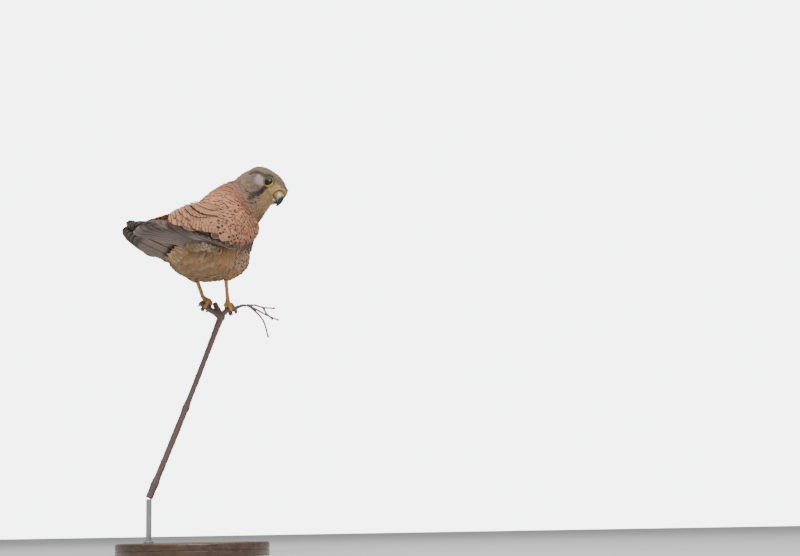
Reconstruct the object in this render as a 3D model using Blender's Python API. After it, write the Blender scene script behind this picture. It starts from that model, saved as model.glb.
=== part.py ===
"""A life-size male common kestrel on a cut length of branch, held by a plain display stand.

Metres, +Z up. The origin is the centre of the stand's underside. The bird heads towards -Y,
so its right side is at -X, and it looks back over its right shoulder. Sizes below are in
millimetres and places are measured from the point between the feet; new_object turns both
into metres.
"""

import math

import bmesh
import bpy
import numpy as np
from mathutils import Matrix, Vector

MM = 0.001
GAP = 0.3
RIGHT, LEFT = -1, 1
SIDE_NAMES = {RIGHT: "right", LEFT: "left"}

# Stand and perch
BASE_RADIUS = 78
BASE_THICKNESS = 14
BASE_EDGE = 2.5
ROD_RADIUS = 2.8
GRIP_HEIGHT = 262
GRIP_OFFSET = (-18, -16)
STEM_RADIUS = 2.9
STUB_RADIUS = 3.1
TWIG_RADIUS = 2.6
STALK_RADIUS = 0.75

# Body, from the species: 330 in all, tail 163, wing 246, tarsus 41
TAIL_LENGTH = 163
TAIL_ROLL = 48
HEAD_CENTRE = (-37, -58, 133)
HEAD_TURN = 118
HEAD_DOWN = 30
HEAD_TILT = -24
EYE_RADIUS = 6.0
VANE_THICKNESS = 0.55
VANE_STEP = 0.9
ROOT_STEP = 0.5

GRIP = Vector((*GRIP_OFFSET, GRIP_HEIGHT))
UP = Vector((0, 0, 1))
BIRDS_LEFT = Vector((1, 0, 0))


def clear_scene():
    for obj in list(bpy.data.objects):
        bpy.data.objects.remove(obj, do_unlink=True)


def material(name, colour, roughness=0.8, metallic=0.0):
    made = bpy.data.materials.get(name)
    if made is None:
        made = bpy.data.materials.new(name)
        made.use_nodes = True
        shader = made.node_tree.nodes["Principled BSDF"]
        shader.inputs["Base Color"].default_value = (*colour, 1.0)
        shader.inputs["Roughness"].default_value = roughness
        shader.inputs["Metallic"].default_value = metallic
        made.diffuse_color = (*colour, 1.0)
    return made


def new_object(name, verts, faces):
    """An object from points in millimetres, measured from the grip."""
    mesh = bpy.data.meshes.new(name)
    mesh.from_pydata([(Vector(v) + GRIP) * MM for v in verts], [], faces)
    bm = bmesh.new()
    bm.from_mesh(mesh)
    bmesh.ops.recalc_face_normals(bm, faces=bm.faces)
    bm.to_mesh(mesh)
    bm.free()
    obj = bpy.data.objects.new(name, mesh)
    bpy.context.scene.collection.objects.link(obj)
    return obj


def dress(obj, mat, angle=40):
    obj.data.materials.clear()
    obj.data.materials.append(mat)
    obj.data.shade_smooth()
    obj.data.set_sharp_from_angle(angle=math.radians(angle))
    return obj


def eased(stations, value):
    """A smooth curve through rows of (position, values...), read at a position."""
    rows = np.array(stations, float)
    x, y = rows[:, 0], rows[:, 1:]
    slopes = np.gradient(y, x, axis=0)
    value = min(max(value, x[0]), x[-1])
    i = min(max(int(np.searchsorted(x, value)) - 1, 0), len(x) - 2)
    span = x[i + 1] - x[i]
    t = (value - x[i]) / span
    start = (2 * t**3 - 3 * t**2 + 1) * y[i] + (t**3 - 2 * t**2 + t) * span * slopes[i]
    end = (3 * t**2 - 2 * t**3) * y[i + 1] + (t**3 - t**2) * span * slopes[i + 1]
    return start + end


def bezier(points, t):
    points = [Vector(p) for p in points]
    while len(points) > 1:
        points = [a.lerp(b, t) for a, b in zip(points, points[1:])]
    return points[0]


def steps(start, end, count):
    return [start + (end - start) * i / (count - 1) for i in range(count)]


def turn_angles(count):
    return steps(0, 2 * math.pi, count + 1)[:-1]


def axes_about(axis):
    """The axis and two directions square to it."""
    axis = Vector(axis).normalized()
    across = axis.orthogonal().normalized()
    return axis, across, axis.cross(across)


def ring_loft(name, rings):
    """A closed body through rings of equal count, with a fan over each end."""
    count = len(rings[0])
    verts = [Vector(v) for ring in rings for v in ring]
    faces = []
    for i in range(len(rings) - 1):
        for j in range(count):
            a, b = i * count + j, i * count + (j + 1) % count
            faces.append((a, b, b + count))
            faces.append((a, b + count, a + count))
    for i, ring in ((0, rings[0]), (len(rings) - 1, rings[-1])):
        verts.append(sum((Vector(v) for v in ring), Vector()) / count)
        for j in range(count):
            faces.append((i * count + (j + 1) % count, i * count + j, len(verts) - 1))
    return new_object(name, verts, faces)


def tube(name, points, radii, sides=10):
    """A closed tube of changing radius along a list of points, without twist."""
    points = [Vector(p) for p in points]
    rings = []
    across = None
    for i, p in enumerate(points):
        ahead = (points[min(i + 1, len(points) - 1)] - points[max(i - 1, 0)]).normalized()
        if across is None:
            across = ahead.orthogonal().normalized()
        across = (across - ahead * across.dot(ahead)).normalized()
        up = ahead.cross(across)
        rings.append([
            p + (across * math.cos(a) + up * math.sin(a)) * radii[i] for a in turn_angles(sides)
        ])
    return ring_loft(name, rings)


def ball(name, centre, radius, rings=10, sides=16, axis=UP, stretch=1.0):
    """A closed ball, drawn out along its axis by the stretch."""
    axis, across, up = axes_about(axis)
    loops = []
    for a in steps(0.14, math.pi - 0.14, rings):
        loops.append([
            centre - axis * math.cos(a) * radius * stretch
            + (across * math.cos(b) + up * math.sin(b)) * math.sin(a) * radius
            for b in turn_angles(sides)
        ])
    return ring_loft(name, loops)


def ring_tube(name, centre, axis, ring_radius, tube_radius, sides=20, around=6):
    """A closed ring of round section."""
    axis, across, up = axes_about(axis)
    verts, faces = [], []
    for i in range(sides):
        a = 2 * math.pi * i / sides
        out = across * math.cos(a) + up * math.sin(a)
        for b in turn_angles(around):
            reach = ring_radius + tube_radius * math.cos(b)
            verts.append(centre + out * reach + axis * tube_radius * math.sin(b))
    for i in range(sides):
        for j in range(around):
            k, m = (i + 1) % sides, (j + 1) % around
            faces.append((i * around + j, k * around + j, k * around + m, i * around + m))
    return new_object(name, verts, faces)


def slab(name, centre, normal, size, depth):
    """A square block whose front face is at the centre and which runs back from it."""
    normal, across, up = axes_about(normal)
    rings = []
    for back in (0, depth):
        rings.append([
            centre - normal * back + across * x * size + up * y * size
            for x, y in ((1, 1), (-1, 1), (-1, -1), (1, -1))
        ])
    return ring_loft(name, rings)


def apply_modifiers(obj):
    graph = bpy.context.evaluated_depsgraph_get()
    mesh = bpy.data.meshes.new_from_object(obj.evaluated_get(graph))
    obj.modifiers.clear()
    obj.data = mesh


def box_of(faces):
    co = np.array([v.co for face in faces for v in face.verts])
    return float(np.prod(co.max(0) - co.min(0) + 1e-9))


def keep_largest(obj):
    """Drops every closed surface of the object but the one with the largest box."""
    bm = bmesh.new()
    bm.from_mesh(obj.data)
    bmesh.ops.remove_doubles(bm, verts=bm.verts, dist=1e-6)
    bmesh.ops.triangulate(bm, faces=bm.faces)
    left, islands = set(bm.faces), []
    while left:
        seed = left.pop()
        island, front = [seed], [seed]
        while front:
            for edge in front.pop().edges:
                for face in edge.link_faces:
                    if face in left:
                        left.discard(face)
                        island.append(face)
                        front.append(face)
        islands.append(island)
    islands.sort(key=box_of)
    scraps = [face for island in islands[:-1] for face in island]
    bmesh.ops.delete(bm, geom=scraps, context="FACES")
    bm.to_mesh(obj.data)
    bm.free()
    return obj


def join(name, pieces, solver="EXACT"):
    """One closed body from overlapping closed pieces."""
    whole = pieces[0]
    whole.name = name
    others = bpy.data.collections.new(name + "_pieces")
    bpy.context.scene.collection.children.link(others)
    for piece in pieces[1:]:
        bpy.context.scene.collection.objects.unlink(piece)
        others.objects.link(piece)
    union = whole.modifiers.new("union", "BOOLEAN")
    union.operation = "UNION"
    union.operand_type = "COLLECTION"
    union.collection = others
    union.solver = solver
    apply_modifiers(whole)
    for piece in list(others.objects):
        bpy.data.objects.remove(piece, do_unlink=True)
    bpy.data.collections.remove(others)
    return keep_largest(whole)


def cut(obj, *cutters, solver="EXACT"):
    """Takes each cutter out of the object and removes the cutters."""
    for cutter in cutters:
        taken = obj.modifiers.new("cut", "BOOLEAN")
        taken.operation = "DIFFERENCE"
        taken.object = cutter
        taken.solver = solver
        apply_modifiers(obj)
        bpy.data.objects.remove(cutter, do_unlink=True)
    return keep_largest(obj)


def oval(width, top, bottom, count, squareness=2.0):
    """Points (side, up) round a section whose upper and lower halves differ."""
    found = []
    for a in turn_angles(count):
        c, s = math.cos(a), math.sin(a)
        if s < 0:
            c = math.copysign(abs(c) ** (2 / squareness), c)
            s = -(abs(s) ** (2 / squareness))
        found.append((c * width, s * (top if s > 0 else bottom)))
    return found


# The torso, in upright sections from the vent to the breast:
# place along Y, half width, height of the back, of the belly and of the widest part
TORSO_STATIONS = (
    (94, 5, 46, 35, 41),
    (86, 13, 53, 29, 41),
    (70, 22, 66, 23.5, 43),
    (52, 31, 82, 21.5, 48),
    (30, 36, 97, 20.5, 55),
    (8, 37, 112, 22, 63),
    (-14, 34.5, 126, 30.5, 72),
    (-32, 30.5, 136, 45, 83),
    (-46, 26, 136, 62, 91),
    (-57, 18.5, 125, 75, 95),
    (-63, 9, 110, 86, 96),
)
TORSO_RINGS = 16
TORSO_SIDES = 22


def torso(grow=0.0, name="torso"):
    rings = []
    first, last = TORSO_STATIONS[0][0] + grow, TORSO_STATIONS[-1][0] - grow
    rows = sorted(TORSO_STATIONS)
    for y in steps(first, last, TORSO_RINGS):
        width, top, bottom, middle = eased(rows, y)
        section = oval(width + grow, top - middle + grow, middle - bottom + grow, TORSO_SIDES, 2.35)
        rings.append([Vector((x, y, middle + z)) for x, z in section])
    return ring_loft(name, rings)


# The head, in its own axes: forward, to its right, and up

def head_axes():
    turn, down, tilt = (math.radians(a) for a in (HEAD_TURN, HEAD_DOWN, HEAD_TILT))
    forward = Vector((
        -math.sin(turn) * math.cos(down), -math.cos(turn) * math.cos(down), -math.sin(down),
    ))
    right = forward.cross(UP).normalized()
    leaning = Matrix.Rotation(tilt, 3, forward)
    return forward, leaning @ right, leaning @ right.cross(forward)


HEAD_FORWARD, HEAD_RIGHT, HEAD_UP = head_axes()

# forward place, half width, height of the crown, depth of the throat
HEAD_STATIONS = (
    (-33, 6, 5, 7),
    (-29, 13.5, 12.4, 13),
    (-20, 18.6, 17.2, 18.5),
    (-8, 19.2, 17.8, 19.5),
    (5, 17.4, 16.8, 18),
    (13, 13.8, 14.4, 15),
    (18.5, 9.4, 10.8, 12),
    (22.5, 5.4, 5.2, 9.5),
)
EYE_PLACE = (9.0, 11.2, 3.6)
LID_REACH = 3.4
LID_RADIUS = 5.1
LID_THICKNESS = 0.95
BROW = ((-3, 14.0, 11.4), (5, 14.4, 11.4), (12, 12.6, 9.8), (17.5, 8.6, 6.0))


def head_point(forward, right, up):
    return Vector(HEAD_CENTRE) + HEAD_FORWARD * forward + HEAD_RIGHT * right + HEAD_UP * up


def eye_out(side):
    """The way that an eye looks: out to its side, a little forward and up."""
    return (HEAD_RIGHT * -side + HEAD_FORWARD * 0.34 + HEAD_UP * 0.05).normalized()


def eye_centre(side):
    forward, out, up = EYE_PLACE
    return head_point(forward, -side * out, up)


def eye(side):
    name = "eye_" + SIDE_NAMES[side]
    return ball(name, eye_centre(side), EYE_RADIUS, 8, 16, eye_out(side))


def head_shell(grow=0.0, name="head"):
    rings = []
    for forward in steps(HEAD_STATIONS[0][0] - grow, HEAD_STATIONS[-1][0] + grow, 14):
        width, top, bottom = eased(HEAD_STATIONS, forward)
        section = oval(width + grow, top + grow, bottom + grow, 22)
        rings.append([head_point(forward, x, z) for x, z in section])
    return ring_loft(name, rings)


def head():
    """The head with brows, lids raised round both eyes, and a socket for each eye."""
    pieces = [head_shell()]
    for side in (RIGHT, LEFT):
        brow = [head_point(f, -side * r, u) for f, r, u in BROW]
        pieces.append(tube("brow", brow, (1.0, 2.1, 2.1, 0.9), 6))
        lid = eye_centre(side) + eye_out(side) * LID_REACH
        pieces.append(ring_tube("lid", lid, eye_out(side), LID_RADIUS, LID_THICKNESS, 18, 5))
    sockets = [
        ball("socket", eye_centre(side), EYE_RADIUS + GAP, 9, 16, eye_out(side))
        for side in (RIGHT, LEFT)
    ]
    return cut(join("head", pieces), *sockets)


# The bill: forward place, height of its middle, half width, half height
UPPER_BILL = (
    (17.5, -1.6, 6.0, 5.6),
    (21.0, -1.6, 5.4, 5.0),
    (24.0, -2.6, 4.5, 4.3),
    (26.4, -4.6, 3.4, 3.8),
    (27.9, -7.4, 2.2, 3.0),
    (28.2, -10.4, 1.1, 1.9),
    (27.4, -13.0, 0.35, 0.8),
)
LOWER_BILL = (
    (16.5, -8.6, 5.0, 2.4),
    (20.0, -8.9, 4.2, 2.2),
    (22.8, -9.4, 3.2, 1.9),
    (24.8, -9.8, 1.8, 1.4),
)
CERE_END = 23.4
NOSTRIL = (22.2, 4.9, -1.0)
NOSTRIL_RADIUS = 0.8


def bill_loft(name, stations, grow=0.0, sides=14):
    rings = []
    for i, (forward, up, half_width, half_height) in enumerate(stations):
        before, after = stations[max(i - 1, 0)], stations[min(i + 1, len(stations) - 1)]
        lean = math.atan2(after[1] - before[1], after[0] - before[0])
        ring = []
        for a in turn_angles(sides):
            rise = math.sin(a) * (half_height + grow)
            side = math.cos(a) * (half_width + grow)
            ring.append(head_point(forward - math.sin(lean) * rise, side, up + math.cos(lean) * rise))
        rings.append(ring)
    return ring_loft(name, rings)


def bill():
    """Cere with nostrils, hooked upper bill, and lower bill, parted by thin cuts."""
    cere = bill_loft("cere", UPPER_BILL)
    upper = bill_loft("bill_upper", UPPER_BILL)
    lower = bill_loft("bill_lower", LOWER_BILL)
    split = head_point(CERE_END, 0, 0)
    nostrils = []
    for side in (RIGHT, LEFT):
        forward, out, up = NOSTRIL
        nostrils.append(ball("nostril", head_point(forward, -side * out, up), NOSTRIL_RADIUS, 6, 8))
    cut(
        cere,
        slab("front", split + HEAD_FORWARD * 20, HEAD_FORWARD, 30, 20),
        head_shell(GAP, "face"),
        bill_loft("mouth", LOWER_BILL, GAP),
        *nostrils,
    )
    cut(
        upper,
        slab("back", split + HEAD_FORWARD * GAP, HEAD_FORWARD, 30, 30),
        bill_loft("mouth", LOWER_BILL, GAP),
    )
    cut(lower, head_shell(GAP, "face"))
    return cere, upper, lower


# The neck, from inside the breast to the back of the head
NECK_PATH = ((1, -20, 95), (-3, -42, 109), (-18, -50, 122), (-31, -54, 132))
NECK_RADII = ((0, 27), (0.35, 29.0), (0.75, 23.6), (1, 18.5))


def neck_tube(grow=0.0, name="neck"):
    places = steps(0, 1, 9)
    points = [bezier(NECK_PATH, t) for t in places]
    return tube(name, points, [eased(NECK_RADII, t)[0] + grow for t in places], 18)


def neck():
    return cut(neck_tube(), torso(GAP, "breast"), head_shell(GAP, "skull"))


# Legs: the middle of the thigh, where the bare leg leaves its feathers, and the foot's top
THIGH_PATH = {
    RIGHT: ((-20, -5, 50), (-27, 5, 45), (-19, 11, 33), (-16.8, 12.6, 22)),
    LEFT: ((20, -3, 50), (27, 7, 45), (19, 12, 33), (15.6, 13, 22.5)),
}
THIGH_RADII = ((0, 14), (0.4, 15), (0.75, 10.5), (1, 4.4))
TARSUS_TOP = {RIGHT: (-16.8, 12.6, 22), LEFT: (15.6, 13, 22.5)}
ANKLE = {RIGHT: (-13.4, 0.2, 2.6), LEFT: (13.6, 3.0, 6.6)}
TARSUS_RADII = (2.35, 2.0, 1.85, 1.9, 2.1)


def thigh_tube(side, grow=0.0):
    places = steps(0, 1, 8)
    points = [bezier(THIGH_PATH[side], t) for t in places]
    radii = [eased(THIGH_RADII, t)[0] + grow for t in places]
    return tube("thigh_" + SIDE_NAMES[side], points, radii, 16)


def thigh(side):
    """The feathered leg, from the belly down to the bare tarsus."""
    return cut(thigh_tube(side), torso(GAP, "belly"), tarsus(side, GAP))


def tarsus(side, grow=0.0):
    top, ankle = Vector(TARSUS_TOP[side]), Vector(ANKLE[side])
    way = (top - ankle).normalized()
    start, end = ankle + way * (GAP - grow), top - way * (2 * GAP - grow)
    points = [start.lerp(end, t) for t in steps(0, 1, 5)]
    radii = [radius + grow for radius in TARSUS_RADII]
    return tube("tarsus_" + SIDE_NAMES[side], points, radii, 12)


# The bar that each foot grips: a point under the foot, the way outwards and its radius
BARS = {
    RIGHT: (Vector((-12.9, -1.0, -8.4)), Vector((-1, -0.20, 0.10)).normalized(), TWIG_RADIUS),
    LEFT: (Vector((12.0, 2.6, -2.6)), Vector((18.5, 5.5, 13.0)).normalized(), STUB_RADIUS),
}
TOE_CLEAR = 0.35
TOE_ARCH = 2.0
CLAW_CURL = 0.4
# place along the bar at the toe's root and end, degrees that it wraps, claw, thickness
TOES = {
    RIGHT: {
        "inner": (-1.6, -2.2, 74, 6.5, 2.0),
        "middle": (0.2, 1.6, 140, 6.5, 2.2),
        "outer": (2.4, 7.6, 124, 6.0, 1.9),
        "hind": (1.8, 4.7, -104, 8.0, 2.2),
    },
    LEFT: {
        "inner": (-2.2, -4.6, 118, 6.0, 2.0),
        "middle": (0.4, 0.6, 142, 6.5, 2.2),
        "outer": (2.6, 5.8, 108, 6.0, 1.9),
        "hind": (-1.2, -2.4, -104, 8.0, 2.2),
    },
}


def bar_axes(side):
    """Straight up from the bar, and ahead of the bird across it."""
    along = BARS[side][1]
    up = (UP - along * along.z).normalized()
    ahead = along.cross(up)
    return up, (-ahead if ahead.y > 0 else ahead)


def toe_line(side, toe):
    """Points along a toe, from the top of the bar round to its end."""
    middle, along, radius = BARS[side]
    up, ahead = bar_axes(side)
    root, end, wrap, _, thick = TOES[side][toe]
    points = []
    for t in steps(0, 1, 7):
        angle = math.radians(wrap * t)
        reach = radius + thick + TOE_CLEAR + TOE_ARCH * math.sin(min(t * 1.6, 1) * math.pi)
        shift = root + (end - root) * min(t * 1.25, 1)
        points.append(middle + along * shift + (up * math.cos(angle) + ahead * math.sin(angle)) * reach)
    return points


def foot(side):
    """The four toes, joined under the tarsus."""
    middle, along, radius = BARS[side]
    up, _ = bar_axes(side)
    pad = middle + up * (radius + 2.9)
    pieces = [ball("pad", pad, 2.9, 7, 10, along, 1.3)]
    for toe in TOES[side]:
        thick = TOES[side][toe][4]
        line = toe_line(side, toe)
        radii = [
            thick * (1.0 - 0.22 * t + 0.08 * math.sin(t * 3 * math.pi)) for t in steps(0, 1, len(line))
        ]
        pieces.append(tube(toe, line, radii, 8))
    top = Vector(ANKLE[side])
    pieces.append(tube("ankle", [pad, pad.lerp(top, 0.6), top], (2.9, 2.7, 2.4), 10))
    return cut(join("foot_" + SIDE_NAMES[side], pieces), tarsus(side, GAP))


def claws(side):
    """A curved claw ahead of each toe's end."""
    made = []
    middle, along, _ = BARS[side]
    for toe, (_, _, _, length, thick) in TOES[side].items():
        line = toe_line(side, toe)
        start = line[-1]
        heading = (line[-1] - line[-2]).normalized()
        inward = (middle + along * (start - middle).dot(along) - start).normalized()
        here = start + heading * (GAP + 0.1)
        points, radii = [], []
        for t in steps(0, 1, 5):
            points.append(here.copy())
            radii.append(thick * 0.6 * (1 - t) ** 0.8 + 0.12)
            here = here + heading * length / 4
            heading = (heading + inward * CLAW_CURL).normalized()
        made.append(tube(f"claw_{SIDE_NAMES[side]}_{toe}", points, radii, 6))
    return made


# The folded wings. Rows go from the wrist to the tip: place along the wing, the lower edge
# (X, Y, Z), and how far the wing leans to +X and +Y as it rises from that edge
WING_EDGES = {
    RIGHT: (
        (0, -38.5, -30, 68, 0.30, 0.30),
        (50, -43, 22, 54, 0.36, 0.20),
        (105, -39, 76, 46, 0.46, 0.08),
        (145, -30, 115, 42.5, 0.52, 0.0),
        (182, -21, 151, 42, 0.42, 0.0),
        (212, -16, 180, 38, 0.12, 0.0),
        (246, -12.5, 213, 28.5, -0.05, 0.0),
    ),
    LEFT: (
        (0, 38.5, -34, 71, -0.28, 0.35),
        (50, 43, 13, 56, -0.42, 0.20),
        (105, 39, 66, 43.5, -0.62, 0.08),
        (145, 30.5, 105, 40, -0.75, 0.0),
        (182, 21, 140, 41, -0.75, 0.0),
        (212, 13.5, 169, 42.5, -0.60, 0.0),
        (246, 6.5, 202, 44, -0.45, 0.0),
    ),
}
# place along the wing, radius of its bend across
WING_BEND = ((-6, 33), (60, 38), (120, 48), (180, 80), (246, 160))
WING_MIDDLE = 20


def wing_surface(side):
    """A point on a folded wing: along from the wrist, up from its lower edge, out from it."""
    edges, last = WING_EDGES[side], WING_EDGES[side][-1][0]

    def edge(along):
        inside = min(max(along, 0), last)
        row = eased(edges, inside)
        ahead = eased(edges, min(inside + 4, last)) - eased(edges, max(inside - 4, 0))
        ahead = Vector(ahead[:3]).normalized()
        return Vector(row[:3]) + ahead * (along - inside), ahead, row[3:]

    def at(along, across, out):
        here, ahead, lean = edge(along)
        rise = Vector((lean[0], lean[1], 1)).normalized()
        rise = (rise - ahead * rise.dot(ahead)).normalized()
        outward = rise.cross(ahead) * -side
        bend = eased(WING_BEND, along)[0]
        a = (across - WING_MIDDLE) / bend
        return (
            here + rise * (WING_MIDDLE + math.sin(a) * (bend + out))
            + outward * (math.cos(a) * (bend + out) - bend)
        )

    return at


BROAD_TIP = ((0, 0.4), (0.25, 0.85), (0.55, 1.0), (0.82, 0.92), (0.94, 0.62), (1, 0.22))
LONG_TIP = ((0, 0.5), (0.3, 0.8), (0.6, 1.0), (0.85, 0.8), (0.95, 0.5), (1, 0.15))
TAIL_TIP = ((0, 0.6), (0.3, 0.9), (0.6, 1.0), (0.88, 0.95), (0.96, 0.7), (1, 0.35))


def vane(surface, root, tip, half_width, heights, bow=0.0, columns=3, rows=6, shape=BROAD_TIP,
         inner=None):
    """A feather as a thin closed plate on a surface, its faces split alike on both sides.

    root and tip are (along, across), heights are above the surface at root and tip, bow bends
    the feather sideways, and no part of it passes inner.
    """
    root, tip = np.array(root, float), np.array(tip, float)
    way = (tip - root) / np.linalg.norm(tip - root)
    side = np.array((-way[1], way[0]))
    verts = []
    for s in [t**0.85 for t in steps(0, 1, rows)]:
        centre = root + (tip - root) * s + side * bow * math.sin(math.pi * s)
        width = half_width * eased(shape, s)[0]
        height = heights[0] + (heights[1] - heights[0]) * s
        for lift in (VANE_THICKNESS, 0.0):
            for c in steps(-1, 1, columns):
                place = centre + side * width * c
                if inner is not None:
                    place[1] = max(place[1], inner)
                camber = 0.35 * (1 - c * c) if columns > 2 else 0.0
                verts.append(surface(place[0], place[1], height + lift + camber))
    ring = 2 * columns
    order = list(range(columns)) + list(range(ring - 1, columns - 1, -1))
    faces = []
    for i in range(rows - 1):
        for j in range(ring):
            m, n = order[j], order[(j + 1) % ring]
            a, b = i * ring + m, i * ring + n
            if m >= columns and n >= columns:
                faces += [(a, b, a + ring), (b, b + ring, a + ring)]
            else:
                faces += [(a, b, b + ring), (a, b + ring, a + ring)]
    for i in (0, rows - 1):
        for j in range(columns - 1):
            top, low = i * ring + j, i * ring + columns + j
            faces += [(top, top + 1, low + 1), (top, low + 1, low)]
    return new_object("vane", verts, faces)


# Where the tips of the flight feathers lie: (along, across), from the outermost inwards
PRIMARY_TIPS = ((230, 3.5), (239, 6), (236, 9.5), (219, 10.5), (202, 11.5), (185, 12.5))
SECONDARY_TIPS = ((166, 16), (155, 20), (145, 25), (137, 30))
TERTIAL_TIPS = ((134, 36), (151, 28), (168, 20))
SCAPULAR_TIPS = ((74, 57), (96, 53), (118, 46))
# Covert tiers: along at root and tip, how many, half width, height of the tips
COVERT_TIERS = ((34, 90, 6, 4.9, 3.4), (14, 58, 6, 4.9, 3.0), (-12, 33, 5, 5.6, 2.4))
COVERT_SPAN = 50
# along as a share: where the lower edge starts, how tall, and how deep under the feathers
WING_BODY = ((0, 14, 20, 6), (0.1, 4, 46, 9), (0.4, 0, 56, 9), (0.75, 4, 46, 6), (1, 12, 24, 2))
WING_FRONT = -18
WING_BODY_LENGTH = 143
# The space that a folded wing takes up behind the body: along, across, and out
GUARD_ALONG = (100, 252)
GUARD_ACROSS = (-4, 44)
GUARD_INSIDE = -3.1
GUARD_OUTSIDE = 16


def wing_body(surface):
    """The padded front of the wing that the feathers root in, thin at its edges."""
    rings = []
    for share in steps(0, 1, 12):
        low, tall, deep = eased(WING_BODY, share)
        ring = []
        for a in turn_angles(16):
            across = low + tall * (0.5 - 0.5 * math.cos(a))
            out = math.sin(a) * (2.2 if math.sin(a) > 0 else deep)
            ring.append(surface(WING_FRONT + WING_BODY_LENGTH * share, across, out - 1.6))
        rings.append(ring)
    return ring_loft("wing_body", rings)


def wing_guard(side):
    """A block that holds the rear of the folded wing, for cutting the tail clear of it."""
    surface = wing_surface(side)
    rings = []
    for along in steps(*GUARD_ALONG, 14):
        inner = [surface(along, across, GUARD_INSIDE) for across in steps(*GUARD_ACROSS, 7)]
        outer = [surface(along, across, GUARD_OUTSIDE) for across in steps(*GUARD_ACROSS[::-1], 7)]
        rings.append(inner + outer)
    return ring_loft("guard", rings)


def wing(side):
    surface = wing_surface(side)
    pieces = [wing_body(surface)]
    for i, tip in enumerate(PRIMARY_TIPS):
        root, heights = (62 + 5 * i, 9 + 1.6 * i), (-3.4 + i * 0.6, -2.2 + i * VANE_STEP)
        pieces.append(vane(surface, root, tip, 7.8, heights, -2.2, rows=5, shape=LONG_TIP))
    for i, tip in enumerate(SECONDARY_TIPS):
        root, heights = (62 + 3 * i, 16 + 5 * i), (-1.2 + i * ROOT_STEP, 4.0 + i * VANE_STEP)
        pieces.append(vane(surface, root, tip, 9.4, heights, -2.0, rows=5))
    for i, tip in enumerate(TERTIAL_TIPS):
        root, heights = (66 - 3 * i, 37 + 5 * i), (-1.0 + i * ROOT_STEP, 7.8 + i * VANE_STEP)
        pieces.append(vane(surface, root, tip, 10.5, heights, 1.5, rows=5))
    for i, tip in enumerate(SCAPULAR_TIPS):
        root, heights = (30 + 4 * i, 50 + 1.6 * i), (-1.2 + i * ROOT_STEP, 5.6 + i * 1.8)
        pieces.append(vane(surface, root, tip, 9.6, heights, 0.5, rows=4))
    for start, end, count, half_width, lift in COVERT_TIERS:
        for i in range(count):
            across, raised = 5.5 + COVERT_SPAN * (i + 0.4) / count, VANE_STEP * (i % 2)
            pieces.append(vane(
                surface, (start - 0.25 * i, across), (end + 0.25 * i, across + 1.0), half_width,
                (-0.9 + raised, lift + raised), columns=2, rows=4,
            ))
    whole = join("wing_" + SIDE_NAMES[side], pieces)
    midline = slab("midline", Vector((side * 0.6, 50, 90)), (side, 0, 0), 110, 30)
    return cut(
        whole, torso(GAP, "flank"), neck_tube(GAP, "nape"), thigh_tube(side, GAP), midline,
    )


# The tail
TAIL_ROOT = Vector((4, 51.5, 39.5))
TAIL_END = Vector((-5, 212, 41))
TAIL_ARCH = 70
TAIL_TURN_LENGTH = 60
# half width, and how far above and below the feathers, by share of the covered root
TAIL_COVERTS = ((0, 8, 8, 8), (0.4, 10, 6, 8), (0.8, 10, 3.0, 6.6), (1, 9, 1.0, 5.6))
RECTRIX_PAIRS = 5
RECTRIX_SHORTER = (0, 1, 4, 10, 20)
RECTRIX_SPREAD = {RIGHT: 2.4, LEFT: 0.8}
RECTRIX_HALF_WIDTH = {RIGHT: 8.0, LEFT: 7.4}
# The feathers' roots and the coverts over them, along the tail
RECTRIX_ROOT = 26
COVERTS_START = -8
COVERTS_END = 66


def tail_surface():
    """A point on the tail: along from its root, to the bird's left, and up from its feathers."""
    back = (TAIL_END - TAIL_ROOT).normalized()
    flat = (BIRDS_LEFT - back * back.x).normalized()

    def at(along, left, up):
        share = min(max(along / TAIL_TURN_LENGTH, 0), 1)
        side = Matrix.Rotation(math.radians(TAIL_ROLL * share), 3, back) @ flat
        top = side.cross(back)
        a, reach = left / TAIL_ARCH, TAIL_ARCH + up
        arched = side * math.sin(a) * reach + top * (math.cos(a) * reach - TAIL_ARCH)
        return TAIL_ROOT + back * along + arched

    return at


def tail():
    surface = tail_surface()
    rings = []
    for share in steps(0, 1, 9):
        half, up, low = eased(TAIL_COVERTS, share)
        along = COVERTS_START + (COVERTS_END - COVERTS_START) * share
        rings.append([surface(along, x, z - 2.0) for x, z in oval(half, up, low, 16)])
    pieces = [ring_loft("tail_coverts", rings)]
    for side in (RIGHT, LEFT):
        def half(along, across, up, side=side):
            return surface(along, side * across, up)
        for k in range(RECTRIX_PAIRS):
            level = VANE_STEP if k == 0 and side == LEFT else -VANE_STEP * k
            tip = (TAIL_LENGTH - RECTRIX_SHORTER[k], 2.5 + RECTRIX_SPREAD[side] * k)
            pieces.append(vane(
                half, (RECTRIX_ROOT, 2.0 + 1.0 * k), tip, RECTRIX_HALF_WIDTH[side], (level, level),
                0.8, rows=5, shape=TAIL_TIP, inner=None if k == 0 else 0.25,
            ))
    return cut(join("tail", pieces), torso(GAP, "rump"), wing_guard(RIGHT), wing_guard(LEFT))


# Perch. Points are measured from the grip
FORK = Vector((-4.8, -2.0, -14.6))
FORK_RADIUS = 4.4
STUB_END = Vector((15.0, 3.5, -0.6))
SNAG_END = Vector((3.4, -4.5, 0.6))
STEM_FOOT = Vector((56.7, 38, -202.5))
STEM_SWAY = Vector((-1.2, 0, 0))
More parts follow.
